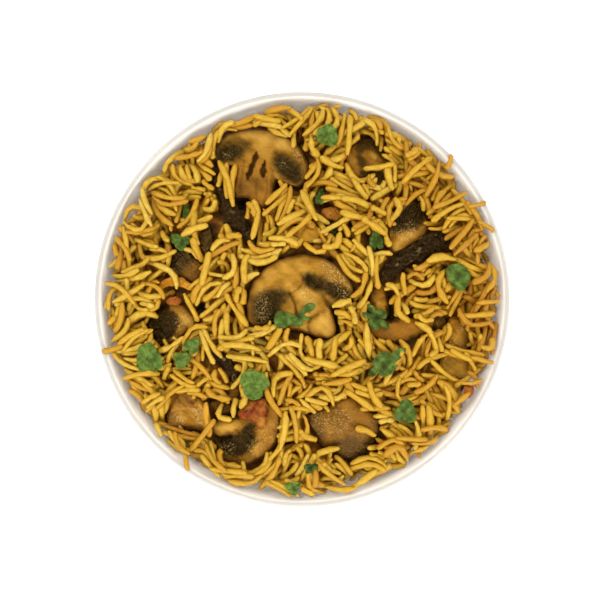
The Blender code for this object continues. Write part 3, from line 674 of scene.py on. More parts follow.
def gap_to(points, line, loop):
    """Distance from points to a line; negative inside it where it is a loop."""
    ends = np.roll(line, -1, 0) if loop else line[1:]
    line = line if loop else line[:-1]
    span = ends - line
    away = points[..., None, :] - line
    t = np.clip((away * span).sum(-1) / np.maximum((span * span).sum(-1), 1e-9), 0, 1)
    gap = np.linalg.norm(away - t[..., None] * span, axis=-1).min(-1)
    if not loop:
        return gap
    y = points[..., 1, None]
    side = (line[:, 1] > y) != (ends[:, 1] > y)
    cross = line[:, 0] + span[:, 0] * (y - line[:, 1]) / np.where(span[:, 1] == 0, 1e-9, span[:, 1])
    inside = (side & (points[..., 0, None] < cross)).sum(-1) % 2 == 1
    return np.where(inside, -gap, gap)


def star(loop, centre, a):
    """How far a closed loop lies from a point inside it, along each angle."""
    ray = np.stack([np.cos(a), np.sin(a)], axis=1)[:, None]
    away, span = (loop - centre)[None], (np.roll(loop, -1, 0) - loop)[None]
    det = ray[..., 0] * span[..., 1] - ray[..., 1] * span[..., 0]
    det = np.where(np.abs(det) < 1e-9, 1e-9, det)
    far = (away[..., 0] * span[..., 1] - away[..., 1] * span[..., 0]) / det
    part = (away[..., 0] * ray[..., 1] - away[..., 1] * ray[..., 0]) / det
    return np.where((part >= 0) & (part <= 1) & (far > 0), far, 0).max(1)


# Slices, lumps and strands

def work_in(height, value, comb, x, y, seen, kind, soft, amount, line):
    """Work one mark into a cut face. A mark is full inside its line and fades out across it over its
    softness. It changes the heights, which are returned, and the values that the paint reads."""
    if kind == "fold":
        away = gap_to(seen + 0.3 * waves(x, y, 3.0, 1.0)[..., None], curve(line, 6 * len(line)), False)
        on = 1 - smooth(0.0, soft * (1.6 + 0.5 * waves(x, y, 4.0, 3.0)), away)
        # The groove is darkened towards the gill colour: painted shade in the crease.
        value["gill"] = np.maximum(value["gill"], 0.38 * min(1.0, amount) * on ** 2)
        return height - amount * on
    away = gap_to(seen + 0.8 * waves(x, y, 3.5, 2.0)[..., None], closed(line), True)
    on = smooth(soft, -soft, away)
    if kind == "slit":
        # The hollow is darkened: painted shade in it.
        value["dim"] = value["dim"] + on
        value["gill"] = np.maximum(value["gill"], 0.5 * on)
        return height - amount * on
    if kind == "gill":
        deep = smooth(soft * 1.8, -soft * 1.5, away - 0.22 * soft * comb)
        value["gill"] = np.maximum(value["gill"], deep * (0.9 + 0.12 * comb))
        return height - on * (amount - 0.35 * comb)
    if kind == "bulge":
        return height + amount * smooth(soft, -2.5 * soft, away)
    if kind == "shade":
        value["gill"] = np.maximum(value["gill"], amount * on * (0.9 + 0.15 * comb))
    else:
        key = "tone" if kind == "pale" else kind
        value[key] = value[key] + amount * on
    return height


def with_side(values, side):
    """Carry a face's values, kept within 0 and 1, from its edge down its side and under it."""
    full = {}
    for key, value in values.items():
        value = np.clip(value, 0, 1)
        full[key] = np.concatenate([value] + [value[-1:]] * len(side))
    return full


def drawn(node, outline, marks, thickness=4.6, paint="mushroom", hub=None, lift=0.0, crown=0.6, rough=0.3,
          ripple=7.0, tone=0.2, dim=0.2, margin=0.5, n=200, m=40, edge=1.2, skin=0.7):
    """A flat-cut piece inside an outline drawn over the photograph: rings that shrink to its middle, at the
    height of its solid's top plane plus a low crown, waves and the marks, then a rounded side.

    Each mark is a kind, a softness or width in pixels, an amount in millimetres or of a tint, and its own
    drawn line: gill (dark, sunk, combed out from the hub), shade (darker towards the gills), glint spots
    (pale specks, painted glints), slit (a hollow darkened with painted shade), fold (a groove darkened with
    painted shade), bulge, pale, warm, vein, and a darkening that is painted shade mixed with blotches."""
    top = plane(node, thickness)
    loop = closed(outline)
    level = float(top(*spot(*loop.mean(0))))
    loop = np.stack(spot(loop[:, 0], loop[:, 1], level), axis=1)
    centre = loop.mean(0)
    a = np.linspace(0, 2 * math.pi, n, endpoint=False)
    nicks = waves(8 * np.cos(a), 8 * np.sin(a), 2.6, centre[0])
    outline = ease(star(loop, centre, a), 2) * (1 + 0.012 * nicks)
    f = np.concatenate([np.linspace(0.03, 0.93, m), [0.96, 0.985, 1.0]])[:, None]
    x = centre[0] + f * outline * np.cos(a)
    y = centre[1] + f * outline * np.sin(a)
    inward = (1 - f) * outline
    k = pixel_at(level)
    seen = np.stack([MIDDLE[0] + x / k, MIDDLE[1] - y / k], axis=-1)
    turn = np.arctan2(y, x) if hub is None else np.arctan2(seen[..., 1] - hub[1], seen[..., 0] - hub[0])
    comb = np.sin(turn * 46 + 2.6 * waves(x, y, 7.0, centre[1])) * 0.45 + 0.55 * waves(x, y, 2.4, centre[0])
    height = (crown * (1 - f ** 2) + rough * waves(x, y, ripple, centre[0])
              + 0.3 * rough * waves(x, y, 2.3, centre[1]))
    patch = waves(x, y, 8.0, centre[1]) * (0.4 if paint == "cap" else 1.0)
    # A little painted glint everywhere; blotches lighten the tone and darken the piece together; painted
    # shade darkens within 4 mm of a skinned edge.
    value = {"gill": 0 * x, "glint_spots": 0.05 + 0 * x, "warm": 0 * x, "vein": 0 * x, "tone": tone + 0.25 * patch,
             "dim": dim - 0.25 * patch + 0.35 * smooth(4.0, 0.5, inward) * (skin > 0),
             "skin": skin * smooth(1.4, 0.2, inward)}
    for mark in marks:
        height = work_in(height, value, comb, x, y, seen, *mark)
    height = height - edge * smooth(1.6, 0.0, inward) ** 2
    z = top(x, y) + lift + height
    rows = [np.stack([x, y, z], axis=-1)]
    for scale, down in SLICE_SIDE:
        lx = centre[0] + scale * (x[-1] - centre[0])
        ly = centre[1] + scale * (y[-1] - centre[1])
        low = z[-1] * (1 - down) + (top(lx, ly) - thickness) * down
        rows.append(np.stack([lx, ly, low], axis=-1)[None])
    value["gill"] = 1 - (1 - np.clip(value["gill"], 0, 1)) ** 2
    obj = shell(node + "_cut", np.concatenate(rows), (*centre, float(z[0].mean())),
                (*centre, float(top(*centre)) - thickness), paint, node, with_side(value, SLICE_SIDE))
    note(obj, margin)


def lump(node, x, y, radii, heading, bulge, paint, thickness=4.0, margin=1.0, rough=0.25, dim=None, gill=0.0,
         tone=0.0, ripple=3.0, n=96, rings=18):
    """A lump: rings inside an outline of radii at even angles, whose height is a dome over the rings' shares
    with waves on it, then a rounded side and a level underside."""
    a = np.linspace(0, 2 * math.pi, n, endpoint=False)
    outline = ease(around(radii, a), 2) * (1 + 0.02 * waves(6 * np.cos(a), 6 * np.sin(a), 2.6, x))
    f = np.concatenate([np.linspace(0.03, 0.9, rings), [0.94, 0.97, 0.99, 1.0]])[:, None]
    u = f * outline * np.cos(a)
    v = f * outline * np.sin(a)
    z = (bulge * (1 - f * f) + rough * waves(u, v, ripple, x) * (1 - 0.5 * f)
         - 0.8 * smooth(0.86, 1.0, f) ** 2)
    rows = [np.stack([u, v, z], axis=-1)]
    for scale, down in LUMP_SIDE:
        low = z[-1] * (1 - down) - thickness * down
        rows.append(np.stack([scale * u[-1], scale * v[-1], low], axis=-1)[None])
    # The darkening, painted shade mixed with blotches, varies in waves unless one value is given.
    value = {"tone": tone + 0.2 * (tone > 0) * waves(u, v, 4.0, x), "gill": gill + 0 * u,
             "dim": 0.3 + 0.4 * waves(u, v, 7.0, x) if dim is None else dim + 0 * u}
    matrix = seat(node, x, y, heading, thickness)
    obj = shell(node + "_piece", moved(matrix, np.concatenate(rows)),
                moved(matrix, np.array([0, 0, z[0].mean()])), moved(matrix, np.array([0, 0, -thickness])),
                paint, node, with_side(value, LUMP_SIDE))
    note(obj, margin)


def ribbon(node, path, widths, thickness, paint, crumple=0.5, margin=0.8, vein=0.0, count=120, sides=40):
    """A limp strand: a flat oval carried along a path at the height of its solid, folded across its width."""
    tree = BVHTree.FromPolygons(*solid(node))
    xy = curve(path, count)
    t = np.linspace(0, 1, count)
    wide = curve([(w, 0) for w in widths], count)[:, 0] / 2
    wide = wide * np.clip(np.minimum(t, 1 - t) * 9, 0.05, 1) ** 0.5
    marks = curve(path, len(path) * 4)
    tops = np.array([drop(tree, x, y) for x, y in marks], float)
    good = ~np.isnan(tops)
    z = np.interp(t, np.linspace(0, 1, len(marks))[good], tops[good]) - thickness / 2
    ahead = np.gradient(xy, axis=0)
    ahead /= np.linalg.norm(ahead, axis=1)[:, None]
    side = np.stack([-ahead[:, 1], ahead[:, 0]], axis=1)
    along = np.cumsum(np.concatenate([[0], np.linalg.norm(np.diff(xy, axis=0), axis=1)]))[:, None]
    phi = np.linspace(0, 2 * math.pi, sides, endpoint=False)
    oval = np.cos(phi)[None]
    across = oval * (1 + 0.28 * waves(along, 3 * oval, 4.2, path[0][0])) * wide[:, None]
    fold = crumple * (0.8 * waves(along, 1.5 * across, 4.6, 1.0)
                      + 0.6 * waves(along + across, across, 2.3, 2.0)
                      + 0.3 * waves(along, across, 1.3, 4.0))
    high = thickness / 2 * np.sin(phi)[None] + fold * smooth(0.6, 2.2, wide)[:, None]
    rows = np.stack([xy[:, :1] + across * side[:, :1], xy[:, 1:] + across * side[:, 1:], z[:, None] + high],
                    axis=-1)
    crease = 1.3 * across + 3.6 * waves(along, 2 * across, 11.0, 3.0)
    veins = vein * smooth(0.94, 1.06, np.sin(crease) + 0.18 * waves(along, across, 5.0, 5.0))
    obj = shell(node + "_strand", rows[:, ::-1], rows[0].mean(0), rows[-1].mean(0), paint, node,
                {"vein": veins})
    note(obj, margin)


# Leaves

def fan(x, y, lobes, cut):
    """A leaflet's outline, as shares at LEAF_ANGLES: a lobe at even angles from a folded cosine, fine teeth
    from faster cosines, and a narrower base."""
    a = LEAF_ANGLES
    lobe = np.abs(np.cos(lobes * a / 2)) ** 0.7
    tooth = (0.022 * np.cos(3 * lobes * a + 0.6 + 0.8 * np.sin(2 * a + y))
             + 0.012 * np.cos(17 * a + x + np.sin(3 * a))
             + 0.045 * np.cos(2 * a + x) + 0.03 * np.cos(5 * a + y))
    return 1 - cut * 1.25 * (1 - lobe) + tooth - LEAF_BASE * np.maximum(0, -np.cos(a)) ** 3


def ribs(u, v, length, width, lobes):
    """A leaf's veins: a bell across each straight line from its stalk to a lobe's tip, fading outwards."""
    vein = np.zeros_like(u)
    root = -0.55 * length / 2
    for k in range(lobes):
        tip = 2 * math.pi * k / lobes
        if math.cos(tip) < -0.6:
            continue
        ex = 0.8 * math.cos(tip) * length / 2
        ey = 0.8 * math.sin(tip) * width / 2
        t = np.clip(((u - root) * (ex - root) + v * ey) / ((ex - root) ** 2 + ey ** 2), 0, 1)
        gap = np.hypot(u - root - t * (ex - root), v - t * ey)
        vein = np.maximum(vein, np.exp(-(gap / 0.22) ** 2) * (1 - 0.6 * t))
    return vein


def leaf(node, x, y, length, width, heading, field, lobes=3, cut=0.22, dim=0.0, lift=0.25, margin=0.5,
         outline=None):
    """A coriander leaflet: rings inside a toothed fan or a given outline, thin, veined and waved by sines,
    lying on what is below it."""
    a = LEAF_ANGLES
    outline = fan(x, y, lobes, cut) if outline is None else outline
    f = np.linspace(0.06, 1.0, LEAF_RINGS)[:, None]
    turn = math.radians(heading)
    u = f * outline * np.cos(a) * length / 2
    v = f * outline * np.sin(a) * width / 2
    px = x + u * math.cos(turn) - v * math.sin(turn)
    py = y + u * math.sin(turn) + v * math.cos(turn)
    z = lookup(soften(field, 3.2), px, py)
    for _ in range(3):
        z = (np.roll(z, 1, 1) + np.roll(z, -1, 1) + z) / 3
    wavy = (1.3 * LEAF_WAVE * f * np.sin(lobes * a + x) + 0.5 * f ** 2 * waves(px, py, 4.2, y)
            + 0.15 * waves(px, py, 1.6, x) + 0.22 * np.abs(v))
    vein = ribs(u, v, length, width, lobes)
    z = z + wavy + 0.12 * vein
    rise = float(np.quantile(lookup(field, px, py) - z, 0.97)) + lift
    half = LEAF_THICKNESS / 2 * (1 - 0.7 * f ** 6)
    top = np.stack([px, py, z + rise + half], axis=-1)
    low = np.stack([px, py, z + rise - half], axis=-1)[::-1]
    # Painted shade: the darkening given for the leaf, broad patches of it, and more towards the middle.
    shade = np.clip(dim + 0.12 + 0.45 * waves(px, py, 5.0, x) + 0.3 * smooth(0.5, 0.0, f), 0, 1)
    values = {"vein": np.concatenate([vein, vein[::-1]]) * 0.5, "dim": np.concatenate([shade, shade[::-1]])}
    obj = shell(node + "_leaf", np.concatenate([top, low]), top[0].mean(0), low[-1].mean(0), "leaf", node,
                values)
    note(obj, margin)


def drawn_leaf(node, shape, field, **looks):
    """A leaf inside an outline drawn over the photograph, as shares of a circle 10 mm across."""
    across = 10.0
    loop = closed([spot(*p, LEAF_LEVEL) for p in shape])
    middle = loop.mean(0)
    outline = np.maximum(ease(star(loop, middle, LEAF_ANGLES), 1), 0.8) / (across / 2)
    leaf(node, *middle, across, across, 0.0, field, outline=outline, **looks)


# Rice

# Which way the grains mostly lie, as degrees from +X at a few places of the photograph.
DRIFT = ((125, 205, 80), (165, 210, 72), (150, 255, -62), (115, 300, 40), (120, 335, 12), (205, 180, 82),
         (225, 250, -62), (285, 215, 55), (240, 290, 62), (250, 345, -4), (320, 368, -18), (325, 348, 82),
         (365, 342, 96), (400, 190, -50), (440, 190, -62), (470, 235, -50), (430, 300, 42), (400, 272, 84),
         (462, 300, 62), (482, 340, 76), (440, 382, -18), (400, 440, -10), (360, 470, 34), (300, 460, 22),
         (250, 470, -14), (190, 450, -62), (150, 400, -72), (170, 382, 2), (200, 395, 30), (312, 182, 34),
         (362, 222, -30), (352, 190, -64), (330, 110, 10))


def drift(x, y):
    """The grains' usual direction at a place: the doubled angles of the nearest marks, averaged."""
    total = 0j
    for px, py, degrees in DRIFT:
        mx, my = spot(px, py)
        total += np.exp(2j * math.radians(degrees)) / (6.0 + (x - mx) ** 2 + (y - my) ** 2) ** 1.5
    return np.angle(total) / 2


def rest(px, py, field, blocked, radius):
    """Let a grain down on the heights below it. It tips onto the two highest points either side of its
    middle, which are the edge of the heights' upper hull, and its free ends droop."""
    n = len(px)
    half = n // 2
    s = np.concatenate([[0], np.cumsum(np.hypot(np.diff(px), np.diff(py)))])
    s = s - s[half]
    floor = np.maximum(lookup(field, px, py) - GRAIN_SINK, lookup(blocked, px, py)) + radius * GRAIN_FLAT
    i = np.arange(half + 1)[:, None]
    j = np.arange(half, n)[None]
    with np.errstate(divide="ignore", invalid="ignore"):
        z0 = (floor[i] * s[j] - floor[j] * s[i]) / (s[j] - s[i])
        z0 = np.where(s[j] - s[i] > 0.1, z0, -np.inf)
    p = np.unravel_index(int(np.argmax(z0)), z0.shape)
    i, j = p[0], p[1] + half
    slope = (floor[j] - floor[i]) / (s[j] - s[i])
    line = z0[p] + slope * s
    free = np.where(s > s[j], s - s[j], np.where(s < s[i], s[i] - s, 0.0))
    line = np.maximum(line - 0.05 * free ** 2, floor)
    smoothed = line.copy()
    smoothed[1:-1] = (line[:-2] + 2 * line[1:-1] + line[2:]) / 4
    return np.maximum(smoothed, line - 0.25), slope


def stamp(field, px, py, pz, radius):
    """Write a laid grain's own height into the map."""
    t = np.linspace(0, len(px) - 1, 29)
    k = np.arange(len(px))
    cx = np.interp(t, k, px)
    cy = np.interp(t, k, py)
    cz = np.interp(t, k, pz)
    i0 = int((cx.min() - radius + HALF_GRID) / CELL)
    i1 = int((cx.max() + radius + HALF_GRID) / CELL) + 2
    j0 = int((cy.min() - radius + HALF_GRID) / CELL)
    j1 = int((cy.max() + radius + HALF_GRID) / CELL) + 2
    gx = GRID_X[i0:i1, j0:j1, None]
    gy = GRID_Y[i0:i1, j0:j1, None]
    gap = radius ** 2 - (gx - cx) ** 2 - (gy - cy) ** 2
    top = np.where(gap > 0, cz + GRAIN_FLAT * np.sqrt(np.maximum(gap, 0.0)), EMPTY).max(axis=2)
    field[i0:i1, j0:j1] = np.maximum(field[i0:i1, j0:j1], top)


def grain_path(x, y, turn, length, bend, twist, n=13):
    """A bent grain seen from above: an arc of the given sag with a slight S to it."""
    s = np.linspace(-1, 1, n)
    off = bend * (s ** 2 - 0.33) + twist * (s ** 3 - 0.6 * s)
    along = s * length / 2 * (1 - 0.03 * abs(bend))
    return (x + along * math.cos(turn) - off * math.sin(turn),
            y + along * math.sin(turn) + off * math.cos(turn))


def reach(turn):
    """How far out the rice goes at an angle: REACH with a fringe of sines."""
    return (around(REACH, turn) + 1.2 * np.sin(23 * turn) + 0.8 * np.sin(38 * turn + 1)
            + 0.7 * np.sin(9 * turn + 2))


class Heap:
    """The grains laid so far and the height map of their tops."""

    def __init__(self, field, blocked):
        self.field = field
        self.blocked = blocked
        self.paths = []
        self.sizes = []
        self.tones = []
        self.depths = []

    def lay(self, px, py, radius, tone, strict=True, ceiling=3.4):
        """Try a grain; keep it if it lies flat enough, within the heap's shape, and off what has to show."""
        pz, slope = rest(px, py, self.field, self.blocked, radius)
        level = dome(px, py)
        if abs(slope) > (STEEPEST if strict else STEEPEST_MARKED) or pz.max() + radius * GRAIN_FLAT > CEILING:
            return False
        if strict:
            out = np.hypot(px, py)
            if lookup(SHOWN, px, py).sum() > 2 or (out > reach(np.arctan2(py, px) % (2 * math.pi))).any():
                return False
            if (pz - level).max() > ceiling + 5.0 * smooth(OUTER_RADIUS, EDGE_RADIUS, out.max()):
                return False
        self.paths.append(np.stack([px, py, pz], axis=1))
        self.sizes.append(radius)
        self.tones.append(tone)
        self.depths.append(float(np.mean(pz - level)))
        stamp(self.field, px, py, pz, radius)
        return True


# Grains that stand out in the photograph, each from end to end over a middle point.
MARKED = ((332, 307, 342, 303, 351, 300), (334, 312, 343, 313, 352, 319), (346, 306, 350, 314, 352, 324),
          (355, 427, 366, 430, 376, 436), (449, 349, 459, 355, 470, 360), (465, 208, 478, 206, 491, 200),
          (444, 172, 448, 163, 450, 154), (474, 303, 486, 302, 498, 301), (126, 345, 114, 349, 103, 352),
          (187, 450, 188, 459, 190, 468), (475, 222, 484, 227, 491, 233), (468, 356, 479, 359, 491, 362),
          (452, 404, 459, 398, 467, 391), (455, 381, 466, 382, 478, 379), (311, 138, 312, 150, 320, 158),
          (320, 158, 332, 165, 344, 168), (363, 169, 378, 168, 394, 164), (341, 199, 356, 201, 370, 208),
          (370, 208, 378, 211, 386, 215), (340, 212, 352, 216, 363, 219), (361, 219, 374, 227, 386, 235),
          (301, 190, 308, 204, 317, 222), (352, 178, 359, 189, 367, 200), (394, 198, 399, 209, 390, 222),
          (218, 160, 228, 180, 234, 208), (242, 388, 246, 397, 240, 408), (179, 236, 192, 229, 206, 226),
          (190, 238, 194, 250, 200, 262), (210, 252, 206, 268, 202, 286), (306, 336, 310, 346, 313, 357),
          (323, 338, 322, 349, 322, 361), (335, 338, 334, 349, 332, 361), (398, 296, 397, 312, 410, 322),
          (414, 322, 428, 330, 437, 350), (286, 410, 285, 427, 280, 450), (425, 262, 440, 257, 456, 260),
          (366, 322, 367, 340, 369, 357), (402, 350, 392, 366, 384, 385), (368, 380, 372, 394, 382, 408),
          (345, 390, 358, 398, 374, 410), (340, 232, 336, 246, 322, 247), (222, 345, 242, 345, 262, 350),
          (226, 356, 246, 358, 268, 362), (330, 376, 348, 367, 366, 360), (300, 358, 318, 362, 334, 366),
          (176, 430, 180, 444, 192, 452), (206, 442, 214, 458, 228, 470))

NUDGES = ((0, 0), (1.2, 0), (-1.2, 0), (0, 1.2), (0, -1.2), (2, 2), (-2, -2), (2, -2), (-2, 2))

# Deep gaps between the grains: where each lies in the photograph, and how wide it is, in pixels.
PITS = ((324, 171, 5), (201, 308, 6), (243, 204, 8), (284, 179, 5), (286, 444, 6), (293, 411, 4),
        (222, 441, 4), (373, 214, 4), (352, 225, 4), (336, 399, 4), (213, 404, 3), (475, 348, 4),
        (441, 334, 4), (404, 275, 4), (445, 385, 4), (163, 242, 5), (396, 213, 5), (208, 250, 4),
        (230, 171, 3), (283, 185, 3))


def scatter(heap):
    """Lay seeded grains, each at the lowest of ten places, with up to two more beside it."""
    for trial in range(GRAIN_TRIALS):
        radius = (EDGE_RADIUS + 2.0) * np.sqrt(rng.uniform(0, 1, 10))
        angle = rng.uniform(0, 2 * math.pi, 10)
        cx = radius * np.cos(angle)
        cy = radius * np.sin(angle)
        clumps = 1.5 * waves(cx, cy, 19.0, 4.0)
        level = np.maximum(lookup(heap.field, cx, cy), lookup(heap.blocked, cx, cy)) - dome(cx, cy) - clumps
        pick = int(np.argmin(level + 60.0 * lookup(SHOWN, cx, cy)))
        if level[pick] > 0.6:
            continue
        x, y = cx[pick], cy[pick]
        turn = drift(x, y) + 0.55 * float(waves(x, y, 13.0, 9.0))
        turn += rng.normal(0, math.radians(17 if rng.uniform() < 0.72 else 60))
        short = rng.uniform() < (0.14 if trial < 0.75 * GRAIN_TRIALS else 0.8)
        length = GRAIN_LENGTH * (rng.uniform(0.4, 0.7) if short else rng.uniform(0.8, 1.22))
        bend = rng.normal(0, 1.9 if rng.uniform() < 0.65 else 3.4) * length / GRAIN_LENGTH
        radius = GRAIN_RADIUS * rng.uniform(0.78, 1.06)
        # The last term paints shade on the grains towards +X, the right of the heap, away from the light.
        tone = 0.75 * rng.beta(2.0, 1.5) + 0.12 * waves(x, y, 24.0, 6.0) + 0.16 - 0.3 * smooth(20, 70, x)
        for go in range(3):
            facing = turn + 1.05 * go
            path = grain_path(x, y, facing, length, bend, 0.4 * bend)
            if heap.lay(*path, radius, tone, ceiling=3.0 + clumps[pick]):
                break
        else:
            continue
        for beside in range(rng.integers(0, 3)):
            aside = (2.0 * beside - 1.0) * radius * rng.uniform(1.7, 2.1)
            ahead = rng.normal(0, 2.6)
            sx = x - aside * math.sin(facing) + ahead * math.cos(facing)
            sy = y + aside * math.cos(facing) + ahead * math.sin(facing)
            path = grain_path(sx, sy, facing + rng.normal(0, 0.12), length * rng.uniform(0.75, 1.1),
                              bend + rng.normal(0, 0.5), 0.4 * bend)
            heap.lay(*path, radius * rng.uniform(0.9, 1.1), tone + rng.normal(0, 0.12),
                     ceiling=2.6 + clumps[pick])


def lay_marked(heap):
    """Lay the grains that stand out, each moved a little where it would stand too steeply."""
    for x0, y0, x1, y1, x2, y2 in MARKED:
        middle = spot(x1, y1)
        z = float(dome(*middle)) + 1.5
        path = curve([spot(x0, y0, z), spot(x1, y1, z), spot(x2, y2, z)], 13)
        out = np.hypot(path[:, :1], path[:, 1:])
        path *= np.minimum(1.0, (RIM_RADIUS - MARKED_RIM) / np.maximum(out, 1.0))
        outer = np.hypot(*middle) > OUTER_RADIUS
        radius = GRAIN_RADIUS * (0.78 if outer else rng.uniform(0.98, 1.08))
        tone = 0.35 if outer else rng.uniform(0.5, 0.82)
        for nudge in NUDGES:
            if heap.lay(path[:, 0] + nudge[0], path[:, 1] + nudge[1], radius, tone, strict=False):
                break


def heap_up():
    """Pile the grains on the sunk dome, off the pieces that show and off the deep gaps."""
    bed = np.where(GRID_R < EDGE_RADIUS - 1.5, dome(GRID_X, GRID_Y) - BED_DEPTH, EMPTY)
    walls = np.where(GRID_R > FLOOR_RADIUS, inner_height(GRID_R), EMPTY)
    walls = np.where(GRID_R > RIM_RADIUS, EMPTY, walls)
    blocked = spread(np.maximum(TOPS, walls), 0.9)
    for px, py, wide in PITS:
        x, y = spot(px, py)
        SHOWN[np.hypot(GRID_X - x, GRID_Y - y) < wide * PIXEL * 0.8] = True
    heap = Heap(np.maximum(bed, walls), blocked)
    scatter(heap)
    lay_marked(heap)
    return heap


def grain_batch(name, heap, chosen):
    """Boiled grains as bent rods: uneven ovals carried along each path, rounding to blunt tips."""
    paths = np.array([heap.paths[k] for k in chosen])
    sizes = np.array([heap.sizes[k] for k in chosen])
    tones = np.array([heap.tones[k] for k in chosen])
    depths = np.array([heap.depths[k] for k in chosen])
    count, rings, sides = len(chosen), len(RING_PLACES), RING_SIDES
    at = (RING_PLACES + 1) / 2 * (paths.shape[1] - 1)
    k = np.clip(at.astype(int), 0, paths.shape[1] - 2)
    f = (at - k)[None, :, None]
    spine = paths[:, k] * (1 - f) + paths[:, k + 1] * f
    ahead = np.gradient(spine, axis=1)
    ahead /= np.linalg.norm(ahead, axis=2, keepdims=True)
    side = np.stack([-ahead[..., 1], ahead[..., 0], 0 * ahead[..., 0]], axis=-1)
    side /= np.linalg.norm(side, axis=2, keepdims=True)
    up = np.cross(ahead, side)
    phi = np.linspace(0, 2 * math.pi, sides, endpoint=False)
    r = sizes[:, None, None, None] * RING_SIZES[None, :, None, None]
    r = r * (1 + rng.normal(0, 0.14, (count, rings, 1, 1)) + rng.normal(0, 0.1, (count, rings, sides, 1)))
    r = r * (1 + rng.normal(0, 0.09, (count, 1, 1, 1)) * RING_PLACES[None, :, None, None])
    ring = (spine[:, :, None] + r * np.cos(phi)[None, None, :, None] * side[:, :, None]
            + GRAIN_FLAT * r * np.sin(phi)[None, None, :, None] * up[:, :, None])
    tips = np.stack([paths[:, 0], paths[:, -1]], axis=1)
    points = np.concatenate([ring[:, :, ::-1].reshape(count, -1, 3), tips], axis=1).reshape(-1, 3)
    # Painted shade on the underside of each grain, full below and fading up its sides; the tips take a
    # little.
    low = smooth(0.45, -0.35, np.sin(phi[::-1]))
    underside_shade = np.broadcast_to(low, (count, rings, sides)).reshape(count, -1)
    underside_shade = np.concatenate([underside_shade, np.full((count, 2), 0.3)], axis=1)
    each = rings * sides + 2
    step = (np.arange(count) * each)[:, None, None]
    faces = []
    for corners in (4, 3):
        one = np.array([face for face in shell_faces(rings, sides) if len(face) == corners])
        faces += (one[None] + step).reshape(-1, corners).tolist()
    # The value by depth is painted shade on the grains that lie deeper in the heap.
    values = {"tone": np.repeat(np.minimum(tones, 0.88), each), "underside_shade": 0.85 * underside_shade,
              "depth": np.repeat(smooth(-0.6, -4.0, depths), each)}
    build(name, points, faces, "rice", "rice", values)


def rice_bed(n=144, m=60):
    """What shows between the grains: the dome sunk by BED_DEPTH with waves on it, closed along the bowl's
    wall and over its floor."""
    a = np.linspace(0, 2 * math.pi, n, endpoint=False)
    r = np.linspace(0.03, 1, m)[:, None] * (EDGE_RADIUS - 2.2)
    x = r * np.cos(a)
    y = r * np.sin(a)
    z = dome(x, y) - BED_DEPTH - 0.6 + 0.5 * waves(x, y, 7.0, 2.0)
    # Painted shade: the deep gaps are sunk and darkened, and the bed beside the pieces is darkened in
    # patches.
    pit = np.zeros_like(x)
    for px, py, wide in PITS:
        cx, cy = spot(px, py)
        pit = np.maximum(pit, smooth(wide * PIXEL * 1.6, wide * PIXEL * 0.6, np.hypot(x - cx, y - cy)))
    z = z - 2.0 * pit
    beside = lookup(soften((TOPS > EMPTY).astype(float), 3.2), x, y)
    pit = np.maximum(pit, 0.85 * smooth(0.02, 0.3, beside) * (0.85 + 0.2 * waves(x, y, 3.5, 1.0)))
    down = INNER_WALL[::-4]
    down = down[down[:, 1] < z[-1].min() - 4]
    low = np.stack([(down[:, :1] - 0.6) * np.cos(a), (down[:, :1] - 0.6) * np.sin(a),
                    np.broadcast_to(down[:, 1:] + 0.6, (len(down), n))], axis=-1)
    rows = np.concatenate([np.stack([x, y, z], axis=-1), low])
    dim = np.concatenate([pit, np.zeros((len(low), n))])
    shell("rice_bed", rows, (0, 0, float(z[0].mean())), (0, 0, FLOOR_HEIGHT + 0.6), "masala", "rice",
          {"dim": dim})


# The pieces, as they lie in the photograph

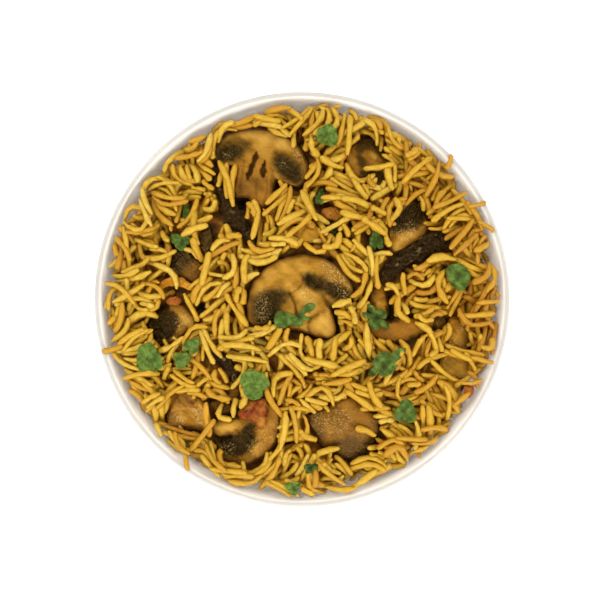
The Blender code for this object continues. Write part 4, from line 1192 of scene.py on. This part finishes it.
def cut_mushroom_far():
    """The large slice at the far side: a pad of gills at each end, a split stalk between them."""
    outline = [(214, 161), (213, 150), (217, 141), (225, 133), (237, 128), (250, 126), (263, 126),
               (276, 130), (289, 136), (300, 147), (306, 158), (309, 170), (306, 181), (299, 187),
               (290, 187), (283, 182), (277, 180), (274, 190), (273, 201), (268, 207), (258, 209),
               (251, 203), (248, 198), (236, 197), (232, 188), (233, 176), (233, 165), (224, 163)]
    # The glint marks are painted glints; the slits and folds are darkened with painted shade, and the last
    # mark is painted shade over the lower stalk.
    marks = [
        ("shade", 5.0, 0.62, [(213, 160), (213, 147), (220, 141), (232, 138), (250, 140), (250, 147),
            (243, 155), (234, 160), (222, 163)]),
        ("gill", 3.0, 1.3, [(216, 157), (218, 147), (228, 143), (242, 145), (243, 152), (236, 158),
            (228, 161), (220, 161)]),
        ("glint_spots", 3.0, 0.25, [(222, 152), (230, 152), (231, 158), (223, 159)]),
        ("pale", 1.6, 0.35, [(222, 158), (229, 156), (228, 161), (222, 162)]),
        ("shade", 5.0, 0.62, [(274, 152), (284, 152), (296, 158), (304, 168), (305, 180), (298, 185),
            (288, 184), (280, 176), (274, 166)]),
        ("gill", 3.2, 1.3, [(275, 156), (285, 156), (295, 162), (302, 172), (301, 181), (294, 183),
            (284, 178), (277, 170)]),
        ("glint_spots", 3.0, 0.3, [(280, 161), (286, 162), (284, 168), (279, 166)]),
        ("glint_spots", 3.0, 0.5, [(292, 148), (302, 154), (304, 162), (296, 158)]),
        ("bulge", 3.0, 0.6, [(252, 150), (262, 147), (270, 152), (271, 175), (270, 200), (262, 206),
            (253, 200), (249, 185)]),
        ("bulge", 2.5, 0.5, [(236, 166), (243, 160), (244, 176), (240, 192), (235, 192)]),
        ("pale", 4.0, 0.4, [(255, 145), (267, 149), (268, 158), (260, 160)]),
        ("slit", 1.5, 1.6, [(257, 152), (257, 159), (254, 167), (251, 175), (248, 180), (247, 175),
            (250, 166), (253, 158)]),
        ("slit", 1.5, 1.6, [(265, 161), (266, 171), (264, 178), (262, 176), (260, 171), (262, 166)]),
        ("fold", 2.4, 0.5, [(273, 158), (273, 175), (272, 194)]),
        ("fold", 2.0, 0.45, [(244, 160), (242, 176), (240, 190), (241, 197)]),
        ("fold", 1.8, 0.35, [(258, 180), (256, 192), (258, 206)]),
        ("fold", 1.6, 0.3, [(267, 178), (268, 190), (265, 204)]),
        ("pale", 5.0, 0.95, [(222, 138), (240, 130), (262, 128), (284, 136), (298, 150), (286, 148),
            (266, 142), (244, 136)]),
        ("warm", 4.0, 0.55, [(236, 168), (246, 158), (256, 156), (270, 164), (272, 190), (268, 205),
            (256, 208), (248, 197), (236, 196)]),
        ("dim", 6.0, 0.6, [(236, 172), (250, 176), (262, 178), (266, 192), (250, 196), (237, 194)])]
    drawn("mushroom_far", outline, marks, hub=(258, 166), tone=0.12, dim=0.12, crown=0.9, margin=0.6)


def cut_mushroom_middle():
    """The slice in the middle: gills at both ends of an arched cap, and a stalk folded in two."""
    outline = [(247, 318), (248, 300), (251, 287), (257, 276), (266, 267), (278, 260), (292, 256),
               (306, 255), (320, 257), (332, 262), (342, 270), (350, 280), (353, 291), (350, 300),
               (342, 304), (334, 304), (332, 312), (335, 322), (336, 332), (331, 338), (322, 338),
               (313, 336), (300, 331), (284, 329), (266, 328), (253, 325)]
    # The glint marks are painted glints; the folds are darkened with painted shade, and the darkening marks
    # paint shade along the top right, the left edge and the lower left.
    marks = [
        ("gill", 3.6, 1.4, [(255, 318), (254, 306), (257, 297), (264, 292), (274, 290), (284, 291),
            (287, 295), (284, 301), (279, 307), (277, 316), (276, 326), (266, 328), (258, 325)]),
        ("gill", 3.0, 1.2, [(303, 276), (312, 274), (322, 279), (334, 283), (345, 288), (351, 295),
            (350, 302), (344, 305), (338, 301), (330, 296), (322, 291), (313, 288), (306, 284)]),
        ("glint_spots", 4.0, 0.5, [(322, 262), (334, 264), (346, 276), (351, 292), (344, 300), (336, 286),
            (324, 274)]),
        ("glint_spots", 4.0, 0.3, [(255, 300), (264, 296), (270, 304), (268, 320), (258, 322)]),
        ("glint_spots", 3.0, 0.5, [(300, 290), (310, 290), (314, 304), (304, 306)]),
        ("gill", 1.6, 0.6, [(305, 278), (311, 276), (314, 282), (310, 287), (306, 284)]),
        ("gill", 2.2, 0.6, [(272, 297), (279, 295), (280, 308), (279, 320), (274, 325), (270, 312)]),
        ("fold", 3.0, 1.5, [(316, 288), (323, 296), (329, 305), (333, 311)]),
        ("fold", 1.2, 0.6, [(290, 294), (297, 290), (303, 284)]),
        ("dim", 5.0, 0.4, [(318, 264), (332, 264), (345, 274), (352, 286), (340, 282), (322, 277)]),
        ("dim", 4.0, 0.6, [(248, 318), (249, 300), (254, 290), (256, 300), (256, 318), (262, 326),
            (254, 325)]),
        ("bulge", 2.5, 0.9, [(292, 292), (304, 288), (314, 292), (320, 302), (324, 314), (314, 318),
            (302, 316), (296, 304)]),
        ("pale", 4.0, 0.25, [(296, 292), (306, 290), (314, 296), (318, 308), (304, 312), (297, 302)]),
        ("fold", 1.6, 1.0, [(289, 293), (293, 299), (296, 308), (297, 319)]),
        ("bulge", 3.0, 1.6, [(312, 323), (317, 316), (326, 315), (333, 321), (335, 330), (330, 337),
            (320, 337), (313, 332)]),
        ("pale", 3.0, 0.5, [(313, 324), (318, 318), (326, 317), (332, 323), (332, 331), (322, 335),
            (314, 331)]),
        ("fold", 2.0, 0.7, [(318, 314), (311, 318), (308, 325), (310, 333)]),
        ("dim", 4.0, 0.45, [(274, 322), (278, 310), (288, 300), (294, 308), (295, 322), (284, 329),
            (272, 328)])]
    drawn("mushroom_middle", outline, marks, hub=(298, 316), tone=0.28, dim=0.08, crown=1.1, margin=0.6)


def cut_mushroom_near_left():
    """The slice at the near left: one broad pad of gills under a pale fold."""
    outline = [(266, 402), (274, 402), (279, 410), (281, 422), (279, 436), (274, 447), (266, 456),
               (256, 462), (245, 467), (233, 467), (223, 463), (218, 455), (217, 446), (213, 438),
               (211, 430), (213, 422), (226, 418), (240, 417), (250, 413), (258, 406)]
    # The glint marks are painted glints, and the darkening marks paint shade along the right and lower edges.
    marks = [
        ("gill", 3.2, 1.3, [(220, 448), (218, 441), (226, 435), (234, 435), (242, 430), (249, 422),
            (256, 424), (254, 432), (256, 440), (252, 446), (248, 452), (240, 456), (231, 458),
            (223, 456)]),
        ("gill", 1.6, 2.4, [(213, 436), (222, 437), (232, 437), (228, 443), (218, 444)]),
        ("bulge", 2.5, 1.3, [(212, 423), (226, 420), (240, 420), (250, 424), (243, 430), (228, 433),
            (213, 432)]),
        ("pale", 3.0, 0.4, [(213, 424), (228, 422), (240, 422), (238, 428), (224, 431), (213, 430)]),
        ("glint_spots", 3.5, 0.35, [(220, 446), (228, 440), (234, 448), (230, 456), (222, 455)]),
        ("glint_spots", 3.5, 0.4, [(248, 446), (258, 438), (262, 450), (252, 458)]),
        ("glint_spots", 5.0, 0.3, [(258, 420), (272, 420), (276, 438), (264, 444)]),
        ("warm", 5.0, 0.5, [(260, 408), (276, 408), (280, 424), (276, 440), (264, 450), (258, 436)]),
        ("dim", 3.0, 0.7, [(258, 461), (268, 452), (277, 440), (280, 424), (282, 440), (274, 454),
            (262, 463)]),
        ("dim", 4.0, 0.5, [(222, 461), (232, 462), (246, 463), (240, 468), (226, 467)])]
    drawn("mushroom_near_left", outline, marks, hub=(240, 425), tone=0.15, dim=0.1, crown=0.9)


def cut_mushroom_right():
    """The slice on the right, half under the rice: a knob, a dark groove and a long foot."""
    outline = [(370, 291), (378, 284), (387, 286), (393, 294), (396, 306), (400, 317), (412, 321),
               (425, 319), (436, 321), (438, 328), (428, 336), (415, 341), (400, 343), (385, 342),
               (373, 338), (366, 331), (365, 320), (367, 305)]
    # The folds are darkened with painted shade, and the darkening marks paint shade on the left of the knob
    # and below it.
    marks = [
        ("bulge", 3.0, 1.2, [(371, 292), (379, 286), (385, 292), (388, 304), (386, 314), (376, 314),
            (370, 304)]),
        ("warm", 4.0, 0.7, [(366, 324), (390, 318), (438, 321), (430, 338), (400, 343), (372, 338)]),
        ("dim", 3.0, 0.5, [(368, 294), (374, 288), (376, 304), (374, 318), (368, 316)]),
        ("gill", 2.6, 1.6, [(387, 290), (394, 296), (400, 316), (392, 321), (384, 320), (388, 306)]),
        ("fold", 3.0, 1.8, [(387, 289), (391, 300), (392, 312), (390, 318)]),
        ("fold", 2.4, 1.2, [(367, 318), (376, 322), (386, 322)]),
        ("dim", 4.0, 0.4, [(368, 324), (380, 326), (388, 330), (380, 336), (370, 334)]),
        ("pale", 1.5, 0.6, [(374, 336), (388, 339), (402, 340), (416, 337), (402, 342), (386, 342)]),
        ("gill", 2.8, 0.8, [(412, 338), (424, 334), (436, 324), (438, 330), (428, 338), (416, 341)])]
    drawn("mushroom_right", outline, marks, hub=(380, 300), tone=0.0, dim=0.3, crown=0.9, margin=0.8)


def cut_mushroom_far_right():
    """The slice at the far right: gills above, pale flesh below."""
    outline = [(388, 228), (387, 221), (394, 215), (400, 207), (406, 201), (415, 198), (423, 202),
               (427, 212), (430, 224), (428, 234), (421, 241), (411, 247), (401, 252), (393, 254),
               (388, 246), (387, 236)]
    # The glint mark is a painted glint, and the darkening mark paints shade along the lower right edge.
    marks = [
        ("gill", 3.2, 1.3, [(390, 229), (388, 222), (395, 216), (401, 210), (410, 203), (418, 199),
            (424, 206), (426, 216), (420, 225), (410, 229), (402, 231), (394, 232)]),
        ("pale", 2.0, 0.4, [(401, 206), (405, 201), (408, 205), (405, 209)]),
        ("bulge", 3.0, 0.7, [(392, 236), (404, 232), (420, 230), (424, 236), (408, 245), (394, 250)]),
        ("pale", 4.0, 0.35, [(398, 236), (408, 232), (412, 240), (402, 246), (394, 248)]),
        ("glint_spots", 4.0, 0.5, [(394, 230), (412, 222), (416, 232), (402, 240)]),
        ("dim", 3.0, 0.5, [(424, 226), (430, 226), (428, 236), (420, 241), (414, 244), (420, 236)])]
    drawn("mushroom_far_right", outline, marks, hub=(404, 236), tone=0.15, dim=0.2, crown=0.8, margin=1.0)


def cut_mushroom_back():
    """The small slice at the back: dark gills round a pale knob."""
    outline = [(344, 153), (350, 145), (357, 140), (366, 137), (378, 139), (389, 147), (391, 158),
               (389, 170), (387, 182), (383, 188), (373, 184), (361, 180), (350, 178), (345, 167)]
    marks = [
        ("shade", 2.8, 0.7, [(357, 145), (366, 139), (378, 141), (384, 148), (390, 152), (387, 159),
            (380, 157), (373, 150), (366, 150), (362, 155), (366, 161), (368, 165), (361, 169),
            (357, 160)]),
        ("shade", 2.8, 0.8, [(360, 171), (370, 171), (379, 171), (384, 175), (384, 186), (377, 184),
            (368, 182), (361, 179)]),
        ("bulge", 2.0, 0.8, [(369, 153), (375, 151), (380, 156), (376, 161), (370, 160)]),
        ("pale", 2.0, 0.4, [(369, 153), (375, 152), (379, 157), (374, 159)])]
    drawn("mushroom_back", outline, marks, hub=(370, 158), tone=0.0, dim=0.3, crown=0.8, margin=1.2)


def cut_mushroom_left():
    """The slice at the left: gills on one side, flesh on the other."""
    outline = [(149, 309), (158, 308), (168, 308), (171, 301), (176, 299), (184, 304), (192, 312),
               (197, 320), (196, 329), (188, 336), (180, 341), (168, 344), (155, 344), (148, 336),
               (147, 322)]
    # The glint mark is a painted glint; the fold is darkened with painted shade, and the darkening mark
    # paints shade at the lower right.
    marks = [
        ("gill", 2.6, 1.5, [(150, 309), (160, 308), (169, 311), (176, 314), (178, 322), (176, 331),
            (171, 338), (164, 343), (155, 343), (148, 336), (148, 322)]),
        ("glint_spots", 4.0, 0.4, [(176, 312), (188, 314), (190, 326), (178, 330)]),
        ("pale", 3.0, 0.4, [(184, 316), (191, 316), (195, 321), (188, 324), (180, 323)]),
        ("dim", 3.0, 0.5, [(176, 334), (186, 330), (194, 330), (186, 337), (177, 340)]),
        ("fold", 1.2, 0.7, [(180, 338), (185, 334), (188, 330)])]
    drawn("mushroom_left", outline, marks, hub=(196, 320), tone=0.1, dim=0.2, crown=1.0, margin=1.0)


def cut_mushroom_cap_left():
    """The curled bit of cap at the left, gills up."""
    outline = [(170, 252), (180, 249), (191, 250), (200, 258), (204, 268), (202, 280), (196, 285),
               (188, 282), (178, 278), (170, 272), (168, 262)]
    # The darkening mark paints shade along the lower edge.
    marks = [
        ("gill", 4.0, 0.7, [(169, 252), (180, 249), (191, 250), (198, 256), (192, 262), (184, 268),
            (176, 272), (169, 264)]),
        ("dim", 3.0, 0.6, [(170, 274), (180, 277), (190, 281), (202, 282), (196, 286), (184, 282)])]
    drawn("mushroom_cap_left", outline, marks, thickness=4.0, paint="cap", crown=1.8, dim=0.3, skin=0.5)


def cut_mushroom_cap_near():
    """The round cap at the near side, skin up."""
    outline = [(306, 416), (313, 410), (322, 407), (331, 401), (340, 396), (350, 395), (360, 401),
               (371, 410), (380, 416), (382, 428), (378, 440), (374, 450), (369, 458), (357, 461),
               (345, 461), (335, 455), (326, 450), (318, 441), (311, 430), (307, 423)]
    # The darkening marks paint shade over the lower part, the left and the right edge; the pale mark paints
    # light on the upper part, and the glint marks are painted glints.
    marks = [
        ("dim", 6.0, 1.0, [(330, 446), (345, 438), (360, 440), (376, 438), (372, 455), (357, 462),
            (340, 460)]),
        ("dim", 4.0, 0.5, [(306, 418), (318, 414), (324, 424), (326, 440), (318, 440), (309, 428)]),
        ("dim", 2.0, 0.9, [(377, 412), (383, 418), (383, 432), (379, 430)]),
        ("pale", 5.0, 0.5, [(338, 399), (350, 397), (362, 404), (372, 414), (366, 424), (352, 420),
            (342, 410)]),
        ("glint_spots", 5.0, 0.35, [(314, 414), (326, 410), (332, 418), (332, 430), (322, 434), (315, 424)]),
        ("glint_spots", 5.0, 0.3, [(334, 406), (348, 406), (352, 420), (342, 432), (334, 424)]),
        ("bulge", 3.0, 0.6, [(318, 412), (332, 404), (344, 412), (344, 430), (330, 440), (320, 430)])]
    drawn("mushroom_cap_near", outline, marks, thickness=5.0, paint="cap", crown=3.0, rough=0.25,
          ripple=12.0, dim=0.2, tone=0.15, skin=0.6, lift=-0.6)


def cut_onion_near_left():
    """The square of onion at the near left, with a pale line across it that is a painted highlight."""
    outline = [(168, 399), (174, 392), (186, 390), (198, 394), (204, 402), (206, 414), (206, 430),
               (192, 430), (180, 430), (170, 431), (166, 420), (168, 409)]
    # The pale line is a painted highlight; the glint marks are painted glints over two pale patches of
    # painted sheen, and the darkening marks paint shade along the lower and upper edges.
    marks = [
        ("vein", 1.2, 0.4, [(172, 409), (186, 407), (202, 410), (202, 412), (186, 409), (172, 411)]),
        ("pale", 3.0, 0.5, [(196, 408), (204, 406), (204, 428), (197, 428)]),
        ("pale", 3.0, 0.5, [(172, 414), (182, 414), (184, 422), (172, 424)]),
        ("glint_spots", 3.0, 0.5, [(172, 414), (182, 413), (184, 424), (173, 426)]),
        ("glint_spots", 3.0, 0.5, [(194, 408), (202, 408), (203, 424), (196, 422)]),
        ("dim", 3.0, 0.6, [(170, 427), (188, 425), (204, 427), (204, 432), (170, 432)]),
        ("dim", 3.0, 0.4, [(174, 393), (194, 393), (198, 402), (176, 403)])]
    drawn("onion_near_left", outline, marks, thickness=2.6, paint="onion", crown=0.9, rough=0.35,
          ripple=5.0, dim=0.45, skin=0.0, margin=0.3)


def cut_onion_petal():
    """The thin petal of onion beside it."""
    outline = [(204, 404), (208, 402), (209, 412), (211, 422), (212, 432), (210, 438), (206, 436),
               (204, 426), (202, 414)]
    marks = [
        ("pale", 2.0, 0.5, [(205, 406), (208, 404), (210, 424), (208, 434), (205, 424)])]
    drawn("onion_petal", outline, marks, thickness=1.6, paint="onion", crown=0.5, rough=0.2, tone=0.4,
          dim=0.1, skin=0.0, margin=0.2, n=120, m=16, edge=0.6)


def cut_onion_right():
    """The round of onion on the right."""
    outline = [(447, 323), (453, 317), (462, 319), (468, 326), (470, 338), (468, 349), (458, 350),
               (448, 346), (446, 334)]
    # The tiny pale spot is a painted highlight, the glint marks are painted glints, and the darkening mark
    # paints shade along the lower edge.
    marks = [
        ("pale", 2.0, 0.5, [(455, 335), (464, 336), (466, 344), (456, 345)]),
        ("pale", 1.0, 0.9, [(461, 326), (463, 326), (463, 329), (461, 329)]),
        ("glint_spots", 2.0, 0.6, [(458, 324), (464, 326), (463, 333), (457, 331)]),
        ("glint_spots", 2.0, 0.4, [(450, 338), (460, 340), (458, 346), (450, 344)]),
        ("dim", 3.0, 0.5, [(446, 340), (456, 346), (468, 347), (466, 352), (448, 350)])]
    drawn("onion_right", outline, marks, thickness=2.4, paint="onion", crown=0.8, rough=0.35, ripple=4.0,
          skin=0.0, margin=0.8, n=150, m=26)


def cut_onion_right_low():
    """The paler round of onion below it."""
    outline = [(441, 358), (449, 353), (460, 357), (470, 362), (471, 372), (463, 378), (451, 378),
               (442, 371)]
    # The darkening mark paints shade over the upper left.
    marks = [
        ("dim", 3.0, 0.5, [(444, 356), (456, 356), (456, 366), (444, 366)]),
        ("pale", 2.0, 0.4, [(456, 367), (466, 366), (466, 374), (456, 375)])]
    drawn("onion_right_low", outline, marks, thickness=2.4, paint="onion", crown=0.8, rough=0.3,
          ripple=4.0, dim=0.0, tone=1.0, skin=0.0, margin=0.4, n=150, m=26)


def cut_tomato_near():
    """The pulpy piece of tomato on the near slice."""
    outline = [(248, 401), (256, 398), (265, 399), (268, 406), (267, 416), (265, 426), (259, 430),
               (254, 424), (248, 421), (240, 419), (238, 412), (243, 407)]
    marks = [
        ("pale", 2.5, 0.6, [(261, 418), (266, 420), (264, 427), (259, 425)]),
        ("pale", 2.5, 0.5, [(246, 402), (252, 401), (252, 408), (246, 409)])]
    drawn("tomato_near", outline, marks, thickness=2.0, paint="tomato", crown=1.2, rough=0.5, ripple=2.4,
          skin=0.0, margin=0.3, n=150, m=26)


def cut_tomato_right():
    """The bit of tomato by the right edge."""
    outline = [(464, 387), (470, 384), (474, 387), (474, 393), (470, 398), (465, 397)]
    marks = [
        ("pale", 2.0, 0.5, [(466, 388), (470, 388), (470, 394), (466, 394)])]
    drawn("tomato_right", outline, marks, thickness=2.0, paint="tomato", crown=0.5, rough=0.3, ripple=2.4,
          skin=0.0, margin=0.6, n=90, m=14, edge=0.6)


def lay_scraps():
    """Five scraps of cap, mostly under rice: each one's place, radii, heading and share of gill."""
    for node, x, y, radii, heading, gill in (
            ("mushroom_scrap_left", -36.9, 23.0, (2.8, 3.6, 6.6, 3.4, 2.6, 3.4, 6.2, 3.8), 0, 1.0),
            ("mushroom_scrap_near", -31.2, -41.4, (4.8, 3.4, 2.6, 3.2, 4.6, 3.0, 2.4, 3.2), -10, 0.3),
            ("mushroom_scrap_far", 15.2, 23.4, (2.8, 3.0, 3.8, 3.0, 2.6, 3.0, 3.6, 3.2), 0, 0.1),
            ("mushroom_scrap_low", -27.0, -35.4, (3.0, 3.2, 4.2, 3.0, 2.8, 3.2, 4.0, 3.4), 0, 0.1),
            ("mushroom_scrap_right", 52.8, -8.6, (3.2, 3.0, 3.6, 3.0, 3.0, 2.8, 3.4, 3.2), 0, 0.3)):
        lump(node, x, y, radii, heading, 0.7, "cap", thickness=3.0, margin=0.8, gill=gill)


def lay_small_onion():
    """The onion at the back and the thin strip at the left."""
    back = (5.8, 4.6, 3.8, 4.4, 5.8, 4.4, 3.6, 4.6)
    lump("onion_back", 2.0, 25.4, back, 5, 0.8, "onion", thickness=2.6, dim=0.0, tone=0.8, margin=0.8)
    strip = [(-55.0, 4.6), (-51.0, 6.8), (-46.5, 6.6), (-41.0, 3.8)]
    ribbon("onion_strip", strip, (2.4, 3.2, 3.2, 2.2), 1.4, "onion", crumple=0.2, margin=0.6, vein=0.4,
           count=50)


def lay_tomato_back():
    """The bit of tomato at the back."""
    radii = (4.6, 3.4, 2.6, 3.0, 4.4, 3.2, 2.6, 3.4)
    lump("tomato_back", 11.7, 33.0, radii, -12, 0.8, "tomato", thickness=2.4, margin=-0.8, rough=0.3,
         ripple=2.0, tone=0.65)


def lay_tomato_left():
    """The thin bit of tomato at the left."""
    radii = (3.2, 2.4, 1.5, 2.0, 3.0, 2.2, 1.4, 2.2)
    lump("tomato_left", -49.6, -0.6, radii, 0, 0.2, "tomato", thickness=2.0, margin=0.2, rough=0.35,
         ripple=1.8, tone=0.3)


def lay_strands():
    """Three strands of fried herb, each a path and its widths along it."""
    far_left = [(-34.8, 50.2), (-33.2, 45.6), (-30.6, 41.0), (-28.8, 36.6), (-26.2, 31.6), (-22.0, 26.4),
                (-18.2, 20.6)]
    ribbon("wilted_far_left", far_left, (2.4, 2.8, 3.2, 4.2, 8.4, 5.0, 2.6), 1.6, "wilted", crumple=0.6,
           vein=0.25)
    right = [(30.6, 7.2), (33.8, 10.8), (38.8, 15.6), (45.0, 18.6), (51.2, 22.0), (57.6, 23.2)]
    ribbon("wilted_right", right, (3.2, 4.6, 5.2, 6.6, 8.4, 6.0), 1.8, "wilted", crumple=0.9, vein=0.45,
           count=170, sides=64)
    left = [(-37.6, -20.8), (-32.4, -21.2), (-28.4, -24.2), (-26.0, -28.8), (-24.2, -34.2)]
    ribbon("wilted_left", left, (2.4, 3.2, 3.6, 3.4, 2.4), 1.4, "wilted", crumple=0.5, vein=0.7)


def lay_leaves_under():
    """The leaves that lie partly under the rice; some are painted darker, as shade under the grains."""
    under = np.maximum(TOPS, np.where(GRID_R < EDGE_RADIUS, dome(GRID_X, GRID_Y) - 0.6, EMPTY))
    leaf("coriander_under_right", 28.4, 22.6, 11.5, 5.4, 95, under, cut=0.25, dim=0.1, margin=-0.4)
    leaf("coriander_under_back", 6.9, 38.8, 7.6, 4.2, 80, under, cut=0.3, dim=0.3, margin=-0.4)
    leaf("coriander_under_middle", 11.6, 27.0, 4.6, 3.8, 70, under, cut=0.2, dim=0.6)
    leaf("coriander_under_left", -46.6, 22.2, 10.4, 6.4, 150, under, cut=0.25, dim=0.1, margin=-0.4)
    leaf("coriander_stem_left", -44.9, 33.4, 8.4, 3.2, 84, under, lobes=2, cut=0.2, dim=0.0, margin=-0.8)
    leaf("coriander_under_far", 1.4, 59.4, 4.4, 3.4, 60, under, cut=0.2, dim=0.7)


def lay_rice():
    """The bed and the loose grains, in two batches that take every other grain; returns the heap."""
    heap = heap_up()
    rice_bed()
    order = np.arange(len(heap.paths))
    for part in range(2):
        grain_batch("rice_grains_%d" % (part + 1), heap, order[part::2])
    return heap


def lay_leaves_on_top(heap):
    """The leaves that lie on the rice and the other pieces."""
    top = np.maximum(heap.field, TOPS)
    leaf("coriander_far", 9.6, 62.4, 9.6, 8.2, 70, top, cut=0.12, dim=-0.04)
    leaf("coriander_right", 59.6, 8.6, 10.8, 10.4, 30, top, lobes=4, cut=0.07, dim=0.2)
    leaf("coriander_left", -58.6, -23.2, 13.8, 9.6, 98, top, cut=0.12, dim=-0.12)
    leaf("coriander_left_pair_a", -46.4, -23.2, 8.6, 6.4, 20, top, cut=0.2)
    leaf("coriander_left_pair_b", -42.2, -18.0, 8.2, 6.0, 55, top, cut=0.2)
    leaf("coriander_near_middle", -17.6, -32.4, 12.8, 11.4, 140, top, cut=0.12, dim=-0.25)
    middle = [(276, 313), (281, 310), (286, 313), (292, 316), (298, 317), (302, 311), (305, 304), (310, 303),
              (315, 304), (314, 309), (310, 312), (311, 317), (308, 321), (304, 320), (302, 325), (297, 327),
              (290, 325), (284, 328), (277, 327), (274, 320)]
    drawn_leaf("coriander_middle", middle, top, dim=0.25, lift=-0.2)
    leaf("coriander_right_middle", 27.6, -6.6, 14.2, 8.0, -38, top, lobes=5, cut=0.4, dim=0.4)
    leaf("coriander_right_low", 31.0, -24.6, 19.2, 9.4, 36, top, lobes=4, cut=0.42, dim=0.3)
    leaf("coriander_near_right", 39.4, -42.8, 10.6, 9.4, -40, top, cut=0.2, dim=0.25)
    leaf("coriander_near", -3.2, -72.4, 7.2, 5.4, 160, top, cut=0.3)
    leaf("coriander_near_dark", 3.0, -64.4, 7.0, 3.8, 20, top, cut=0.3, dim=0.7)


make_bowl()
cut_mushroom_far()
cut_mushroom_middle()
cut_mushroom_near_left()
cut_mushroom_right()
cut_mushroom_far_right()
cut_mushroom_back()
cut_mushroom_left()
cut_mushroom_cap_left()
cut_mushroom_cap_near()
lay_scraps()
cut_onion_near_left()
cut_onion_petal()
cut_onion_right()
cut_onion_right_low()
lay_small_onion()
cut_tomato_near()
lay_tomato_back()
cut_tomato_right()
lay_tomato_left()
lay_strands()
lay_leaves_under()
lay_leaves_on_top(lay_rice())


# Floor, light and camera

def make_floor():
    """A plain pale floor, five metres wide."""
    material, tree, shader, place = start("floor")
    pale = ramp(tree, noise(tree, place, 90.0), [(0.3, "FBFBFA"), (0.7, "FDFDFC")])
    tree.links.new(pale, shader.inputs["Base Color"])
    constants(shader, Roughness=0.8)
    mesh = bpy.data.meshes.new("floor")
    r = 2.5
    mesh.from_pydata([(-r, -r, 0), (r, -r, 0), (r, r, 0), (-r, r, 0)], [], [(0, 1, 2, 3)])
    mesh.materials.append(material)
    floor = bpy.data.objects.new("floor", mesh)
    bpy.context.scene.collection.objects.link(floor)


def area(name, place, size, power, colour):
    """A soft box aimed at the bowl."""
    light = bpy.data.lights.new(name, "AREA")
    light.shape = "DISK"
    light.size = size
    light.energy = power
    light.color = tint(colour)[:3]
    obj = bpy.data.objects.new(name, light)
    obj.location = place
    obj.rotation_euler = (Vector((0, 0, 0.05)) - Vector(place)).to_track_quat("-Z", "Y").to_euler()
    bpy.context.scene.collection.objects.link(obj)


def light_up():
    """A low ring of soft boxes that rakes over the grains, a high ring with one small box, and a pale sky."""
    out, up, size, powers = LOW_LIGHTS
    for k, power in enumerate(powers):
        turn = math.radians(20 + 60 * k)
        area("low_%d" % (k + 1), (out * math.cos(turn), out * math.sin(turn), up), size, power, "FFFDF8")
    out, up, size, powers = HIGH_LIGHTS
    for k, power in enumerate(powers):
        turn = math.radians(45 + 90 * k)
        area("high_%d" % (k + 1), (out * math.cos(turn), out * math.sin(turn), up),
             SHARP_LIGHT if k == 1 else size, power, "FFFAF2")
    world = bpy.data.worlds.new("studio")
    world.use_nodes = True
    sky = world.node_tree.nodes["Background"]
    sky.inputs["Color"].default_value = (1, 1, 1, 1)
    sky.inputs["Strength"].default_value = SKY
    bpy.context.scene.world = world
    bpy.context.scene.view_settings.view_transform = "Standard"


def aim_camera():
    """Straight down from CAMERA_DISTANCE over the rim, so that a pixel there is PIXEL wide."""
    camera = bpy.data.cameras.new("camera")
    camera.sensor_width = SENSOR
    camera.lens = SENSOR * CAMERA_DISTANCE / (PHOTO_SIZE * PIXEL)
    camera.clip_start = 0.01
    eye = bpy.data.objects.new("camera", camera)
    half = PHOTO_SIZE / 2
    eye.location = ((half - MIDDLE[0]) * PIXEL * MM, (MIDDLE[1] - half) * PIXEL * MM,
                    (BOWL_HEIGHT + CAMERA_DISTANCE) * MM)
    bpy.context.scene.collection.objects.link(eye)
    bpy.context.scene.camera = eye


make_floor()
light_up()
aim_camera()
